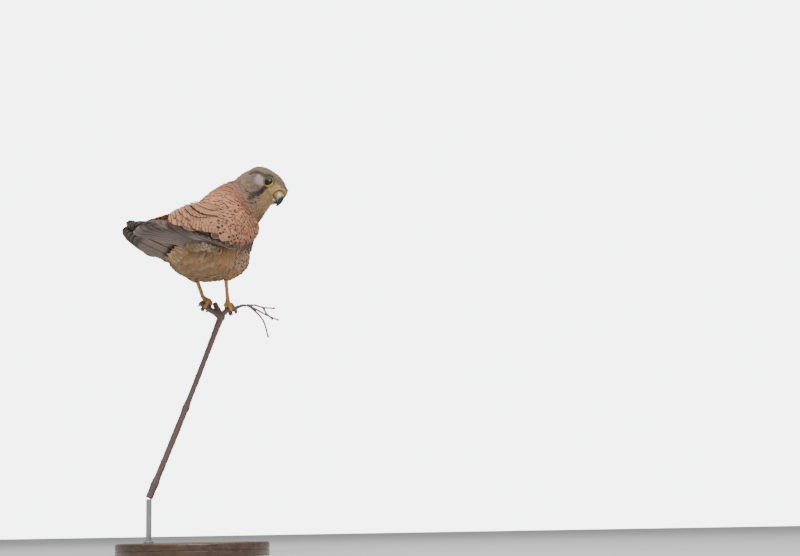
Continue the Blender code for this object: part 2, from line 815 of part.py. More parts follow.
# Shares of the stem's length at its two bud scars, their height, and the step below each
SCARS = (0.506, 0.918)
SCAR_HEIGHT = 0.8
SCAR_SPREAD = 0.018
SCAR_STEP = 0.4
TWIG_LINE = (
    (-7.4, -1.8, -11.4), (-12.9, -1.0, -8.4), (-17.0, -1.9, -8.0), (-22.5, -4.0, -5.4),
    (-27, -6.0, -3.6), (-33, -8.5, -3.4),
)
STALKS = (
    (((-33, -8.5, -3.4), (-38, -11, -3.0), (-47, -15, -5.6), (-58, -18, -6.6)), STALK_RADIUS),
    (((-47, -15, -5.6), (-51, -16.5, -12.8), (-56, -18, -17.6)), STALK_RADIUS * 0.85),
    (((-33, -8.5, -3.4), (-40, -11, -7.2), (-50, -13.5, -13.2), (-62, -18.5, -19)), STALK_RADIUS),
    (((-33, -8.5, -3.4), (-41, -13, -11.2), (-46, -16, -18), (-51.5, -18, -36)), STALK_RADIUS),
)
# Swellings where stalks part: place and radius
KNOTS = (((-33, -8.5, -3.4), 1.7), ((-47, -15, -5.6), 1.15))


def fork(grow=0.0):
    """The swollen fork and its two short upright stubs."""
    stub = [FORK.lerp(STUB_END, t) for t in steps(0, 1, 4)]
    snag = [FORK.lerp(SNAG_END, t) for t in steps(0, 1, 3)]
    return [
        ball("fork", FORK, FORK_RADIUS + grow, 8, 14, (0.2, 0, 1), 1.15),
        tube("stub", stub, [r + grow for r in (3.7, STUB_RADIUS, STUB_RADIUS, 2.6)], 10),
        tube("snag", snag, [r + grow for r in (3.6, 3.3, 2.6)], 10),
    ]


def stem_radius(t):
    """Swollen at the fork and at each scar, and a step thicker below each scar."""
    radius = STEM_RADIUS + 0.6 * math.exp(-(t / 0.1) ** 2)
    for scar in SCARS:
        radius += SCAR_HEIGHT * math.exp(-((t - scar) / SCAR_SPREAD) ** 2)
        radius += SCAR_STEP if t > scar else 0.0
    return radius


def perch_stem():
    places = [0, 0.08, 0.2, 0.34]
    for scar in SCARS:
        places += [scar - 2 * SCAR_SPREAD, scar - 0.6 * SCAR_SPREAD, scar, scar + 1.5 * SCAR_SPREAD]
    places = sorted(places + [0.7, 1])
    line = [FORK.lerp(STEM_FOOT, t) + STEM_SWAY * math.sin(t * math.pi) for t in places]
    stem = tube("stem", line, [stem_radius(t) for t in places], 12)
    return join("perch_stem", [stem, *fork()])


def perch_twig():
    """The side twig under the right foot, and the fine stalks that hang from it."""
    pieces = [tube("twig", TWIG_LINE, (3.0, TWIG_RADIUS, 2.4, 1.8, 1.4, 1.2), 8)]
    for knot, radius in KNOTS:
        pieces.append(ball("knot", Vector(knot), radius, 6, 8, (1, 0.3, 0.1)))
    for stalk, radius in STALKS:
        stalk = [Vector(p) for p in stalk]
        radii = [radius * (1.25 - 0.4 * t) for t in steps(0, 1, len(stalk))]
        radii[-1] = radius * 1.3
        tip = stalk[-1] + (stalk[-1] - stalk[-2]).normalized() * radius * 1.6
        pieces.append(tube("stalk", stalk + [tip], radii + [radius * 0.5], 6))
    return cut(join("perch_twig", pieces), *fork(GAP))


def stand():
    """A turned disc with an eased top edge, and a rod up to the cut end of the stem."""
    profile = [(BASE_RADIUS - 1.2, 0), (BASE_RADIUS, 1.2), (BASE_RADIUS, BASE_THICKNESS - BASE_EDGE)]
    for a in steps(0, math.pi / 2, 4)[1:]:
        radius = BASE_RADIUS - BASE_EDGE + BASE_EDGE * math.cos(a)
        profile.append((radius, BASE_THICKNESS - BASE_EDGE + BASE_EDGE * math.sin(a)))
    rings = []
    for radius, height in profile:
        rings.append([
            Vector((radius * math.cos(a), radius * math.sin(a), height)) - GRIP for a in turn_angles(40)
        ])
    base = ring_loft("stand_base", rings)
    bottom, top = BASE_THICKNESS + GAP - GRIP_HEIGHT, STEM_FOOT.z - 1.2
    line = [(STEM_FOOT.x, STEM_FOOT.y, z) for z in steps(bottom, top, 3)]
    rod = tube("stand_rod", line, (ROD_RADIUS,) * 3, 14)
    return base, rod


def main():
    clear_scene()
    rufous = material("rufous_feather", (0.55, 0.27, 0.14))
    buff = material("buff_feather", (0.60, 0.43, 0.25))
    grey = material("grey_feather", (0.42, 0.38, 0.35))
    dark = material("flight_feather", (0.20, 0.17, 0.16))
    skin = material("yellow_skin", (0.75, 0.38, 0.05), 0.5)
    horn = material("dark_horn", (0.05, 0.05, 0.06), 0.3)
    bill_blue = material("blue_horn", (0.25, 0.28, 0.33), 0.35)
    eye_brown = material("eye", (0.02, 0.012, 0.01), 0.05)
    bark = material("bark", (0.22, 0.15, 0.13), 0.85)
    wood = material("stand_wood", (0.16, 0.09, 0.05), 0.4)
    steel = material("stand_steel", (0.5, 0.5, 0.5), 0.3, 1.0)

    dress(torso(), buff)
    dress(neck(), grey)
    dress(head(), grey)
    for side in (RIGHT, LEFT):
        dress(eye(side), eye_brown)
        dress(thigh(side), buff)
        dress(tarsus(side), skin)
        dress(foot(side), skin)
        for claw in claws(side):
            dress(claw, horn)
        dress(wing(side), rufous)
    cere, upper, lower = bill()
    dress(cere, skin)
    dress(upper, bill_blue)
    dress(lower, bill_blue)
    dress(tail(), dark)
    dress(perch_stem(), bark)
    dress(perch_twig(), bark)
    base, rod = stand()
    dress(base, wood)
    dress(rod, steel)


main()
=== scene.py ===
"""A perched common kestrel in full plumage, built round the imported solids.

Sizes are in millimetres and places are measured from the point between the feet, as in the
part's own source. The bird heads towards -Y with its right side at -X.
"""

import heapq
import math

import bmesh
import bpy
import numpy as np
from mathutils import Matrix, Vector
from mathutils.bvhtree import BVHTree
from mathutils.kdtree import KDTree


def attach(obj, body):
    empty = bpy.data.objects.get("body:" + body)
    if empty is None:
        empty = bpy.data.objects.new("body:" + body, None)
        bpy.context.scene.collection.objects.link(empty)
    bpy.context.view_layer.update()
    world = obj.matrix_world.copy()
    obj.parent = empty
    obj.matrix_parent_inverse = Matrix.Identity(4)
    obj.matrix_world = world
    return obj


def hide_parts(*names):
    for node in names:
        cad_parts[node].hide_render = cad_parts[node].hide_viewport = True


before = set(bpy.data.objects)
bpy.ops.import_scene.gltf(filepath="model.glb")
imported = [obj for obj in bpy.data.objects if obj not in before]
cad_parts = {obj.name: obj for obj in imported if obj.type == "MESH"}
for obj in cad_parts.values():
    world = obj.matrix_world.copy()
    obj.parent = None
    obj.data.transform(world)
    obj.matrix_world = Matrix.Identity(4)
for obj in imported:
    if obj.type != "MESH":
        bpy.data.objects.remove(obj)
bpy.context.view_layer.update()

bl_info = {
    "name": "Perched kestrel",
    "version": (1, 0, 0),
    "blender": (4, 5, 0),
    "location": "3D View > Sidebar > Kestrel",
    "description": "Plumage, head, feet, perch and stand of a life-size kestrel model",
    "category": "Object",
}

MM = 0.001
RIGHT, LEFT = -1, 1
SIDE_NAMES = {RIGHT: "right", LEFT: "left"}
GRIP = np.array((-18.0, -16.0, 262.0))
UP = np.array((0.0, 0.0, 1.0))

# Sizes shared with the part's source
HEAD_CENTRE = np.array((-37.0, -58.0, 133.0))
HEAD_TURN, HEAD_DOWN, HEAD_TILT = (math.radians(a) for a in (118, 30, -24))
EYE_RADIUS = 6.0
EYE_PLACE = (9.0, 11.2, 3.6)
LID_REACH, LID_RADIUS = 3.4, 5.1
UPPER_BILL = (
    (17.5, -1.6, 6.0, 5.6), (21.0, -1.6, 5.4, 5.0), (24.0, -2.6, 4.5, 4.3), (26.4, -4.6, 3.4, 3.8),
    (27.9, -7.4, 2.2, 3.0), (28.2, -10.4, 1.1, 1.9), (27.4, -13.0, 0.35, 0.8),
)
LOWER_BILL = ((16.5, -8.6, 5.0, 2.4), (20.0, -8.9, 4.2, 2.2), (22.8, -9.4, 3.2, 1.9), (24.8, -9.8, 1.8, 1.4))
CERE = (
    (13.5, -1.6, 5.6, 5.2), (17.0, -1.6, 5.8, 5.5), (20.5, -1.6, 5.4, 5.2), (23.0, -2.2, 4.8, 4.7),
    (24.3, -2.9, 4.1, 3.9),
)
NOSTRIL = (21.6, 5.0, -0.6)
NECK_PATH = ((1, -20, 95), (-3, -42, 109), (-18, -50, 122), (-31, -54, 132))
TORSO_AXIS = ((0, -40, 96), (0, -10, 76), (0, 30, 58), (0, 70, 46), (0, 96, 42))
THIGH_PATH = {
    RIGHT: ((-20, -5, 50), (-27, 5, 45), (-19, 11, 33), (-16.8, 12.6, 22)),
    LEFT: ((20, -3, 50), (27, 7, 45), (19, 12, 33), (15.6, 13, 22.5)),
}
TARSUS_TOP = {RIGHT: (-16.8, 12.6, 22), LEFT: (15.6, 13, 22.5)}
ANKLE = {RIGHT: (-13.4, 0.2, 2.6), LEFT: (13.6, 3.0, 6.6)}
BARS = {
    RIGHT: (np.array((-12.9, -1.0, -8.4)), np.array((-1, -0.20, 0.10)), 2.6),
    LEFT: (np.array((12.0, 2.6, -2.6)), np.array((18.5, 5.5, 13.0)), 3.1),
}
TOE_CLEAR, TOE_ARCH, CLAW_CURL = 0.35, 2.0, 0.4
TOES = {
    RIGHT: {
        "inner": (-1.6, -2.2, 74, 6.5, 2.0), "middle": (0.2, 1.6, 140, 6.5, 2.2),
        "outer": (2.4, 7.6, 124, 6.0, 1.9), "hind": (1.8, 4.7, -104, 8.0, 2.2),
    },
    LEFT: {
        "inner": (-2.2, -4.6, 118, 6.0, 2.0), "middle": (0.4, 0.6, 142, 6.5, 2.2),
        "outer": (2.6, 5.8, 108, 6.0, 1.9), "hind": (-1.2, -2.4, -104, 8.0, 2.2),
    },
}
WING_EDGES = {
    RIGHT: (
        (0, -38.5, -30, 68, 0.30, 0.30), (50, -43, 22, 54, 0.36, 0.20), (105, -39, 76, 46, 0.46, 0.08),
        (145, -30, 115, 42.5, 0.52, 0.0), (182, -21, 151, 42, 0.42, 0.0), (212, -16, 180, 38, 0.12, 0.0),
        (246, -12.5, 213, 28.5, -0.05, 0.0),
    ),
    LEFT: (
        (0, 38.5, -34, 71, -0.28, 0.35), (50, 43, 13, 56, -0.42, 0.20), (105, 39, 66, 43.5, -0.62, 0.08),
        (145, 30.5, 105, 40, -0.75, 0.0), (182, 21, 140, 41, -0.75, 0.0), (212, 13.5, 169, 42.5, -0.60, 0.0),
        (246, 6.5, 202, 44, -0.45, 0.0),
    ),
}
WING_BEND = ((-6, 33), (60, 38), (120, 48), (180, 80), (246, 160))
WING_MIDDLE = 20
WING_BODY = ((0, 14, 20, 6), (0.1, 4, 46, 9), (0.4, 0, 56, 9), (0.75, 4, 46, 6), (1, 12, 24, 2))
WING_FRONT, WING_BODY_LENGTH = -18, 143
TAIL_ROOT, TAIL_END = np.array((4, 51.5, 39.5)), np.array((-5.0, 212, 41))
TAIL_LENGTH, TAIL_ROLL, TAIL_ARCH, TAIL_TURN_LENGTH = 163, math.radians(48), 70, 60
TAIL_COVERTS = ((0, 8, 8, 8), (0.4, 10, 6, 8), (0.8, 10, 3.0, 6.6), (1, 9, 1.0, 5.6))
STEM_RADIUS, STUB_RADIUS, TWIG_RADIUS, STALK_RADIUS = 2.9, 3.1, 2.6, 0.75
FORK = np.array((-4.8, -2.0, -14.6))
STUB_END, SNAG_END = np.array((15.0, 3.5, -0.6)), np.array((3.4, -4.5, 0.6))
STEM_FOOT = np.array((56.7, 38, -202.5))
SCARS, SCAR_HEIGHT, SCAR_SPREAD, SCAR_STEP = (0.506, 0.918), 0.8, 0.018, 0.4
TWIG_LINE = (
    (-7.4, -1.8, -11.4), (-12.9, -1.0, -8.4), (-17.0, -1.9, -8.0), (-22.5, -4.0, -5.4),
    (-27, -6.0, -3.6), (-33, -8.5, -3.4),
)
STALKS = (
    ((-33, -8.5, -3.4), (-38, -11, -3.0), (-47, -15, -5.6), (-58, -18, -6.6)),
    ((-47, -15, -5.6), (-51, -16.5, -12.8), (-56, -18, -17.6)),
    ((-33, -8.5, -3.4), (-40, -11, -7.2), (-50, -13.5, -13.2), (-62, -18.5, -19)),
    ((-33, -8.5, -3.4), (-41, -13, -11.2), (-46, -16, -18), (-51.5, -18, -36)),
)


# Sums on rows of points

def unit(v):
    v = np.asarray(v, float)
    return v / np.maximum(np.linalg.norm(v, axis=-1, keepdims=True), 1e-9)


def dots(a, b):
    return (a * b).sum(-1, keepdims=True)


def eased(stations, values):
    """A smooth curve through rows of (position, values...), read at many positions."""
    rows = np.array(stations, float)
    x, y = rows[:, 0], rows[:, 1:]
    slopes = np.gradient(y, x, axis=0)
    v = np.clip(np.asarray(values, float), x[0], x[-1])
    i = np.clip(np.searchsorted(x, v) - 1, 0, len(x) - 2)
    span = (x[i + 1] - x[i])[..., None]
    t = (v - x[i])[..., None] / span
    start = (2 * t**3 - 3 * t**2 + 1) * y[i] + (t**3 - 2 * t**2 + t) * span * slopes[i]
    return start + (3 * t**2 - 2 * t**3) * y[i + 1] + (t**3 - t**2) * span * slopes[i + 1]


def bezier(points, places):
    t = np.asarray(places, float)[:, None]
    rows = [np.broadcast_to(np.array(p, float), (len(t), 3)) for p in points]
    while len(rows) > 1:
        rows = [a * (1 - t) + b * t for a, b in zip(rows, rows[1:])]
    return rows[0]


def smooth(low, high, value):
    t = np.clip((value - low) / (high - low), 0, 1)
    return t * t * (3 - 2 * t)


def head_axes():
    forward = np.array((
        -math.sin(HEAD_TURN) * math.cos(HEAD_DOWN), -math.cos(HEAD_TURN) * math.cos(HEAD_DOWN),
        -math.sin(HEAD_DOWN),
    ))
    right = unit(np.cross(forward, UP))
    up = np.cross(right, forward)
    c, s = math.cos(HEAD_TILT), math.sin(HEAD_TILT)
    return forward, right * c + np.cross(forward, right) * s, up * c + np.cross(forward, up) * s


HEAD_FORWARD, HEAD_RIGHT, HEAD_UP = head_axes()
HEAD_FRAME = np.stack((HEAD_FORWARD, HEAD_RIGHT, HEAD_UP), 1)


def head_point(forward, right, up):
    return HEAD_CENTRE + HEAD_FORWARD * forward + HEAD_RIGHT * right + HEAD_UP * up


def eye_out(side):
    return unit(HEAD_RIGHT * -side + HEAD_FORWARD * 0.34 + HEAD_UP * 0.05)


def eye_centre(side):
    forward, out, up = EYE_PLACE
    return head_point(forward, -side * out, up)


def axes_about(axis):
    axis = unit(axis)
    across = unit(np.cross(axis, (0.31, 0.87, 0.39)))
    return axis, across, np.cross(axis, across)


# Meshes

def new_mesh(name, verts, faces, metres=False):
    """An object from points in millimetres from the grip, or from points in metres."""
    points = np.asarray(verts, float).reshape(-1, 3)
    if not metres:
        points = (points + GRIP) * MM
    mesh = bpy.data.meshes.new(name)
    mesh.from_pydata(points.tolist(), [], faces)
    bm = bmesh.new()
    bm.from_mesh(mesh)
    bmesh.ops.recalc_face_normals(bm, faces=bm.faces)
    bm.to_mesh(mesh)
    bm.free()
    return place(name, mesh)


def place(name, mesh):
    obj = bpy.data.objects.new(name, mesh)
    bpy.context.scene.collection.objects.link(obj)
    mesh.shade_smooth()
    return obj


def loft_faces(rings, count, first=0):
    """Quads between rings of equal count, with a fan over each end."""
    faces = []
    for i in range(rings - 1):
        for j in range(count):
            a, b = first + i * count + j, first + i * count + (j + 1) % count
            faces.append((a, b, b + count, a + count))
    last = first + rings * count
    for i, centre in ((0, last), (rings - 1, last + 1)):
        for j in range(count):
            faces.append((first + i * count + (j + 1) % count, first + i * count + j, centre))
    return faces


def lofted(ring_sets):
    """Points and faces of several closed lofts."""
    verts, faces = [], []
    for rings in ring_sets:
        rings = np.asarray(rings, float)
        faces += loft_faces(rings.shape[0], rings.shape[1], sum(len(v) for v in verts))
        verts += [rings.reshape(-1, 3), rings[0].mean(0)[None], rings[-1].mean(0)[None]]
    return np.concatenate(verts), faces


def tube_rings(points, radii, sides=12):
    points = np.asarray(points, float)
    radii = np.broadcast_to(np.asarray(radii, float), (len(points),))
    ahead = unit(np.gradient(points, axis=0))
    across = axes_about(ahead[0])[1]
    turns = np.linspace(0, 2 * math.pi, sides, endpoint=False)
    rings = []
    for p, way, radius in zip(points, ahead, radii):
        across = unit(across - way * (across @ way))
        up = np.cross(way, across)
        rings.append(p + (np.outer(np.cos(turns), across) + np.outer(np.sin(turns), up)) * radius)
    return rings


def smoothed(points, count):
    """More points along a smooth line through a few."""
    points = np.asarray(points, float)
    along = np.concatenate(([0], np.cumsum(np.linalg.norm(np.diff(points, axis=0), axis=1))))
    return eased(np.column_stack((along, points)), np.linspace(0, along[-1], count))


def ball_rings(centre, radius, axis=UP, rings=16, sides=24, stretch=1.0):
    axis, across, up = axes_about(axis)
    turns = np.linspace(0, 2 * math.pi, sides, endpoint=False)
    round_ = np.outer(np.cos(turns), across) + np.outer(np.sin(turns), up)
    return [
        centre - axis * math.cos(a) * radius * stretch + round_ * math.sin(a) * radius
        for a in np.linspace(0.06, math.pi - 0.06, rings)
    ]


def evaluated(obj, name=None):
    """The object's mesh with its modifiers applied, and the object's modifiers removed."""
    graph = bpy.context.evaluated_depsgraph_get()
    mesh = bpy.data.meshes.new_from_object(obj.evaluated_get(graph))
    obj.modifiers.clear()
    obj.data = mesh
    return obj


def remeshed(obj, voxel, rounds, factor=0.5):
    """One closed skin from overlapping or nearly touching bodies."""
    remesh = obj.modifiers.new("skin", "REMESH")
    remesh.mode = "VOXEL"
    remesh.voxel_size = voxel * MM
    ease = obj.modifiers.new("ease", "SMOOTH")
    ease.factor = factor
    ease.iterations = rounds
    evaluated(obj)
    obj.data.shade_smooth()
    return obj


def copied_nodes(name, nodes, *others):
    """One object with merged copies of CAD nodes and of other objects."""
    bm = bmesh.new()
    for obj in [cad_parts[node] for node in nodes] + list(others):
        bm.from_mesh(obj.data)
    bmesh.ops.remove_doubles(bm, verts=bm.verts, dist=1e-6)
    mesh = bpy.data.meshes.new(name)
    bm.to_mesh(mesh)
    bm.free()
    mesh.materials.clear()
    return place(name, mesh)


def mesh_arrays(obj):
    """Points in millimetres from the grip, normals, and triangles."""
    mesh = obj.data
    points = np.zeros(len(mesh.vertices) * 3, np.float32)
    mesh.vertices.foreach_get("co", points)
    normals = np.zeros(len(mesh.vertices) * 3, np.float32)
    mesh.vertex_normals.foreach_get("vector", normals)
    mesh.calc_loop_triangles()
    tris = np.zeros(len(mesh.loop_triangles) * 3, np.int32)
    mesh.loop_triangles.foreach_get("vertices", tris)
    points = points.reshape(-1, 3).astype(float) / MM - GRIP
    return points, normals.reshape(-1, 3).astype(float), tris.reshape(-1, 3)


def node_tree(node):
    """A search tree of a CAD node, in millimetres from the grip."""
    points, _, tris = mesh_arrays(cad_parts[node])
    return BVHTree.FromPolygons(points.tolist(), tris.tolist())


def set_attribute(mesh, name, kind, values):
    attribute = mesh.attributes.new(name, kind, "POINT")
    field = {"FLOAT_COLOR": "color", "FLOAT": "value"}[kind]
    attribute.data.foreach_set(field, np.asarray(values, np.float32).ravel())


def finish_piece(obj, mat, slot, *nodes):
    """Gives a piece its material and its body, and hides the nodes that it stands for. The slot is not used."""
    obj.data.materials.clear()
    obj.data.materials.append(mat)
    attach(obj, "root")
    if nodes:
        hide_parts(*nodes)
    return obj


# Surfaces that the long feathers lie on

def wing_surface(side):
    """Points on a folded wing: along from the wrist, up from its lower edge, out from it."""
    edges, last = WING_EDGES[side], WING_EDGES[side][-1][0]

    def at(along, across, out):
        along, across, out = np.broadcast_arrays(*(np.asarray(v, float) for v in (along, across, out)))
        inside = np.clip(along, 0, last)
        row = eased(edges, inside)
        ahead = eased(edges, np.minimum(inside + 4, last)) - eased(edges, np.maximum(inside - 4, 0))
        ahead = unit(ahead[..., :3])
        here = row[..., :3] + ahead * (along - inside)[..., None]
        rise = unit(np.stack((row[..., 3], row[..., 4], np.ones_like(along)), -1))
        rise = unit(rise - ahead * dots(rise, ahead))
        outward = np.cross(rise, ahead) * -side
        bend = eased(WING_BEND, along)[..., 0]
        a = (across - WING_MIDDLE) / bend
        lift = WING_MIDDLE + np.sin(a) * (bend + out)
        return here + rise * lift[..., None] + outward * (np.cos(a) * (bend + out) - bend)[..., None]

    return at


def tail_surface():
    """Points on the tail: along from its root, to the bird's left, and up from its feathers."""
    back = unit(TAIL_END - TAIL_ROOT)
    flat = unit(np.array((1.0, 0, 0)) - back * back[0])
    lean = np.cross(back, flat)

    def at(along, left, up):
        along, left, up = np.broadcast_arrays(*(np.asarray(v, float) for v in (along, left, up)))
        roll = TAIL_ROLL * np.clip(along / TAIL_TURN_LENGTH, 0, 1)[..., None]
        side = flat * np.cos(roll) + lean * np.sin(roll)
        top = np.cross(side, back)
        a, reach = left / TAIL_ARCH, TAIL_ARCH + up
        arched = side * (np.sin(a) * reach)[..., None]
        arched = arched + top * (np.cos(a) * reach - TAIL_ARCH)[..., None]
        return TAIL_ROOT + back * along[..., None] + arched

    return at


# Feathers

BROAD = ((0, 0.4), (0.25, 0.85), (0.55, 1.0), (0.82, 0.92), (0.94, 0.62), (1, 0.18))
LONG = ((0, 0.5), (0.3, 0.8), (0.6, 1.0), (0.85, 0.8), (0.95, 0.5), (1, 0.12))
SQUARE = ((0, 0.6), (0.3, 0.9), (0.6, 1.0), (0.88, 0.95), (0.96, 0.7), (1, 0.3))
CONTOUR = ((0, 0.35), (0.3, 0.8), (0.6, 1.0), (0.85, 0.78), (1, 0.2))
WISP = ((0, 0.6), (0.3, 1.0), (0.6, 0.8), (0.85, 0.45), (1, 0.08))


class Coat:
    """Gathers feathers of several grids and turns them into one mesh."""

    def __init__(self):
        self.batches = []

    def add(self, top, low, tint, marks, bake, flow=None):
        """top and low: (feathers, rows, columns, 3). tint and marks: one row a feather."""
        count, rows, columns = top.shape[:3]
        tint = np.asarray(tint, float)
        if tint.ndim == 2:
            tint = np.broadcast_to(tint[:, None, None, :], (count, rows, columns, 3))
        marks = np.broadcast_to(np.asarray(marks, float)[:, None, None, :], (count, rows, columns, 5))
        self.batches.append((top, low, tint, marks, np.asarray(bake, float), flow))

    def build(self, name):
        points, tints, marks, vane_uv, bake_uv, quads = [], [], [], [], [], []
        first = 0
        for top, low, tint, mark, bake, flow in self.batches:
            count, rows, columns = top.shape[:3]
            size = rows * columns
            grid = np.arange(size).reshape(rows, columns)
            a, b, c, d = grid[:-1, :-1], grid[:-1, 1:], grid[1:, 1:], grid[1:, :-1]
            upper = np.stack((a, b, c, d), -1).reshape(-1, 4)
            edge = np.concatenate((grid[0], grid[1:, -1], grid[-1, -2::-1], grid[-2:0:-1, 0]))
            after = np.roll(edge, -1)
            rim = np.stack((edge, edge + size, after + size, after), -1)
            faces = np.concatenate((upper, upper[:, ::-1] + size, rim))
            normal = np.cross(top[:, 1, 1] - top[:, 0, 0], top[:, 1, 0] - top[:, 0, 1])
            wrong = (normal * (top[:, 1, 0] - low[:, 1, 0])).sum(-1) > 0
            each = np.where(wrong[:, None, None], faces[None], faces[None, :, ::-1])
            each = each + (first + np.arange(count) * 2 * size)[:, None, None]
            quads.append(each.reshape(-1, 4))
            both = np.stack((top, low), 1).reshape(-1, 3)
            points.append(both)
            tints.append(np.stack((tint, tint), 1).reshape(-1, 3))
            marks.append(np.stack((mark, mark), 1).reshape(-1, 5))
            v, u = np.meshgrid(np.linspace(0, 1, rows), np.linspace(0, 1, columns), indexing="ij")
            if flow is not None:
                v = np.broadcast_to(np.asarray(flow)[:, None], v.shape)
            uv = np.stack((u, v), -1)
            vane_uv.append(np.broadcast_to(uv, (count, 2, rows, columns, 2)).reshape(-1, 2))
            patch = bake[:, None, None, None, :] + (uv - 0.5) * BAKE_PATCH
            bake_uv.append(np.broadcast_to(patch, (count, 2, rows, columns, 2)).reshape(-1, 2))
            first += count * 2 * size
        points, quads = np.concatenate(points), np.concatenate(quads)
        mesh = bpy.data.meshes.new(name)
        mesh.vertices.add(len(points))
        mesh.vertices.foreach_set("co", ((points + GRIP) * MM).astype(np.float32).ravel())
        mesh.loops.add(quads.size)
        mesh.loops.foreach_set("vertex_index", quads.astype(np.int32).ravel())
        mesh.polygons.add(len(quads))
        mesh.polygons.foreach_set("loop_start", np.arange(0, quads.size, 4, dtype=np.int32))
        mesh.update(calc_edges=True)
        for label, values in (("vane", vane_uv), ("OFBake", bake_uv)):
            layer = mesh.uv_layers.new(name=label)
            layer.uv.foreach_set("vector", np.concatenate(values)[quads.ravel()].astype(np.float32).ravel())
        marks = np.concatenate(marks)
        set_attribute(mesh, "tint", "FLOAT_COLOR", np.column_stack((np.concatenate(tints), marks[:, 0])))
        set_attribute(mesh, "marks", "FLOAT_COLOR", marks[:, 1:])
        obj = place(name, mesh)
        mesh.set_sharp_from_angle(angle=math.radians(60))
        return obj


BAKE_PATCH = 0.003


def vane(surface, root, tip, half_width, heights, bow=0.0, rows=12, columns=7, shape=BROAD,
         thick=0.22, camber=0.4, curl=0.0, inner=None, ragged=0.0, rng=None):
    """One long feather on a surface, as (1, rows, columns, 3) arrays of its two faces."""
    root, tip = np.array(root, float), np.array(tip, float)
    way = (tip - root) / np.linalg.norm(tip - root)
    side = np.array((-way[1], way[0]))
    s = np.linspace(0, 1, rows) ** 0.85
    flow = s
    c = np.linspace(-1, 1, columns)
    centre = root + (tip - root) * s[:, None] + side * (bow * np.sin(math.pi * s))[:, None]
    width = half_width * eased(shape, s)[:, 0]
    if ragged:
        width = width * (1 + rng.normal(0, ragged, rows))
    spot = centre[:, None, :] + side * (width[:, None] * c)[..., None]
    if inner is not None:
        spot[..., 1] = np.maximum(spot[..., 1], inner)
    height = heights[0] + (heights[1] - heights[0]) * s[:, None] + camber * (1 - c * c)[None, :]
    height = height + curl * s[:, None] ** 4
    top = surface(spot[..., 0], spot[..., 1], height + thick)
    low = surface(spot[..., 0], spot[..., 1], height)
    return top[None], low[None], flow


# Finishes

class Nodes:
    """Short ways to add and join shader nodes."""

    def __init__(self, tree):
        self.tree = tree

    def add(self, kind, **settings):
        node = self.tree.nodes.new(kind)
        for key, value in settings.items():
            setattr(node, key, value)
        return node

    def feed(self, socket, value):
        if isinstance(value, bpy.types.NodeSocket):
            self.tree.links.new(value, socket)
        elif value is not None:
            socket.default_value = value

    def math(self, operation, *values, clamp=False):
        node = self.add("ShaderNodeMath", operation=operation, use_clamp=clamp)
        for socket, value in zip(node.inputs, values):
            self.feed(socket, value)
        return node.outputs[0]

    def step(self, value, low, high):
        """0 at low, 1 at high, eased between."""
        node = self.add("ShaderNodeMapRange", interpolation_type="SMOOTHSTEP")
        self.feed(node.inputs[0], value)
        node.inputs[1].default_value, node.inputs[2].default_value = low, high
        if low > high:
            node.inputs[1].default_value, node.inputs[2].default_value = high, low
            node.inputs[3].default_value, node.inputs[4].default_value = 1, 0
        return node.outputs[0]

    def mix(self, factor, a, b, blend="MIX"):
        node = self.add("ShaderNodeMix", data_type="RGBA", blend_type=blend)
        for socket, value in ((node.inputs[0], factor), (node.inputs[6], a), (node.inputs[7], b)):
            self.feed(socket, (*value, 1) if isinstance(value, tuple) else value)
        return node.outputs[2]

    def noise(self, vector, scale, detail=3.0, rough=0.55):
        node = self.add("ShaderNodeTexNoise")
        self.feed(node.inputs["Vector"], vector)
        node.inputs["Scale"].default_value = scale
        node.inputs["Detail"].default_value = detail
        node.inputs["Roughness"].default_value = rough
        return node.outputs["Fac"]

    def stretched(self, vector, scale):
        node = self.add("ShaderNodeMapping")
        self.feed(node.inputs["Vector"], vector)
        node.inputs["Scale"].default_value = scale
        return node.outputs[0]

    def object_place(self):
        return self.add("ShaderNodeTexCoord").outputs["Object"]


def node_group(name, inputs, outputs):
    """A new shader group: its nodes, its input sockets and its output node."""
    group = bpy.data.node_groups.new(name, "ShaderNodeTree")
    for label, kind, value in inputs:
        socket = group.interface.new_socket(label, in_out="INPUT", socket_type=kind)
        socket.default_value = value
    for label, kind in outputs:
        group.interface.new_socket(label, in_out="OUTPUT", socket_type=kind)
    nodes = Nodes(group)
    return nodes, nodes.add("NodeGroupInput").outputs, nodes.add("NodeGroupOutput").inputs


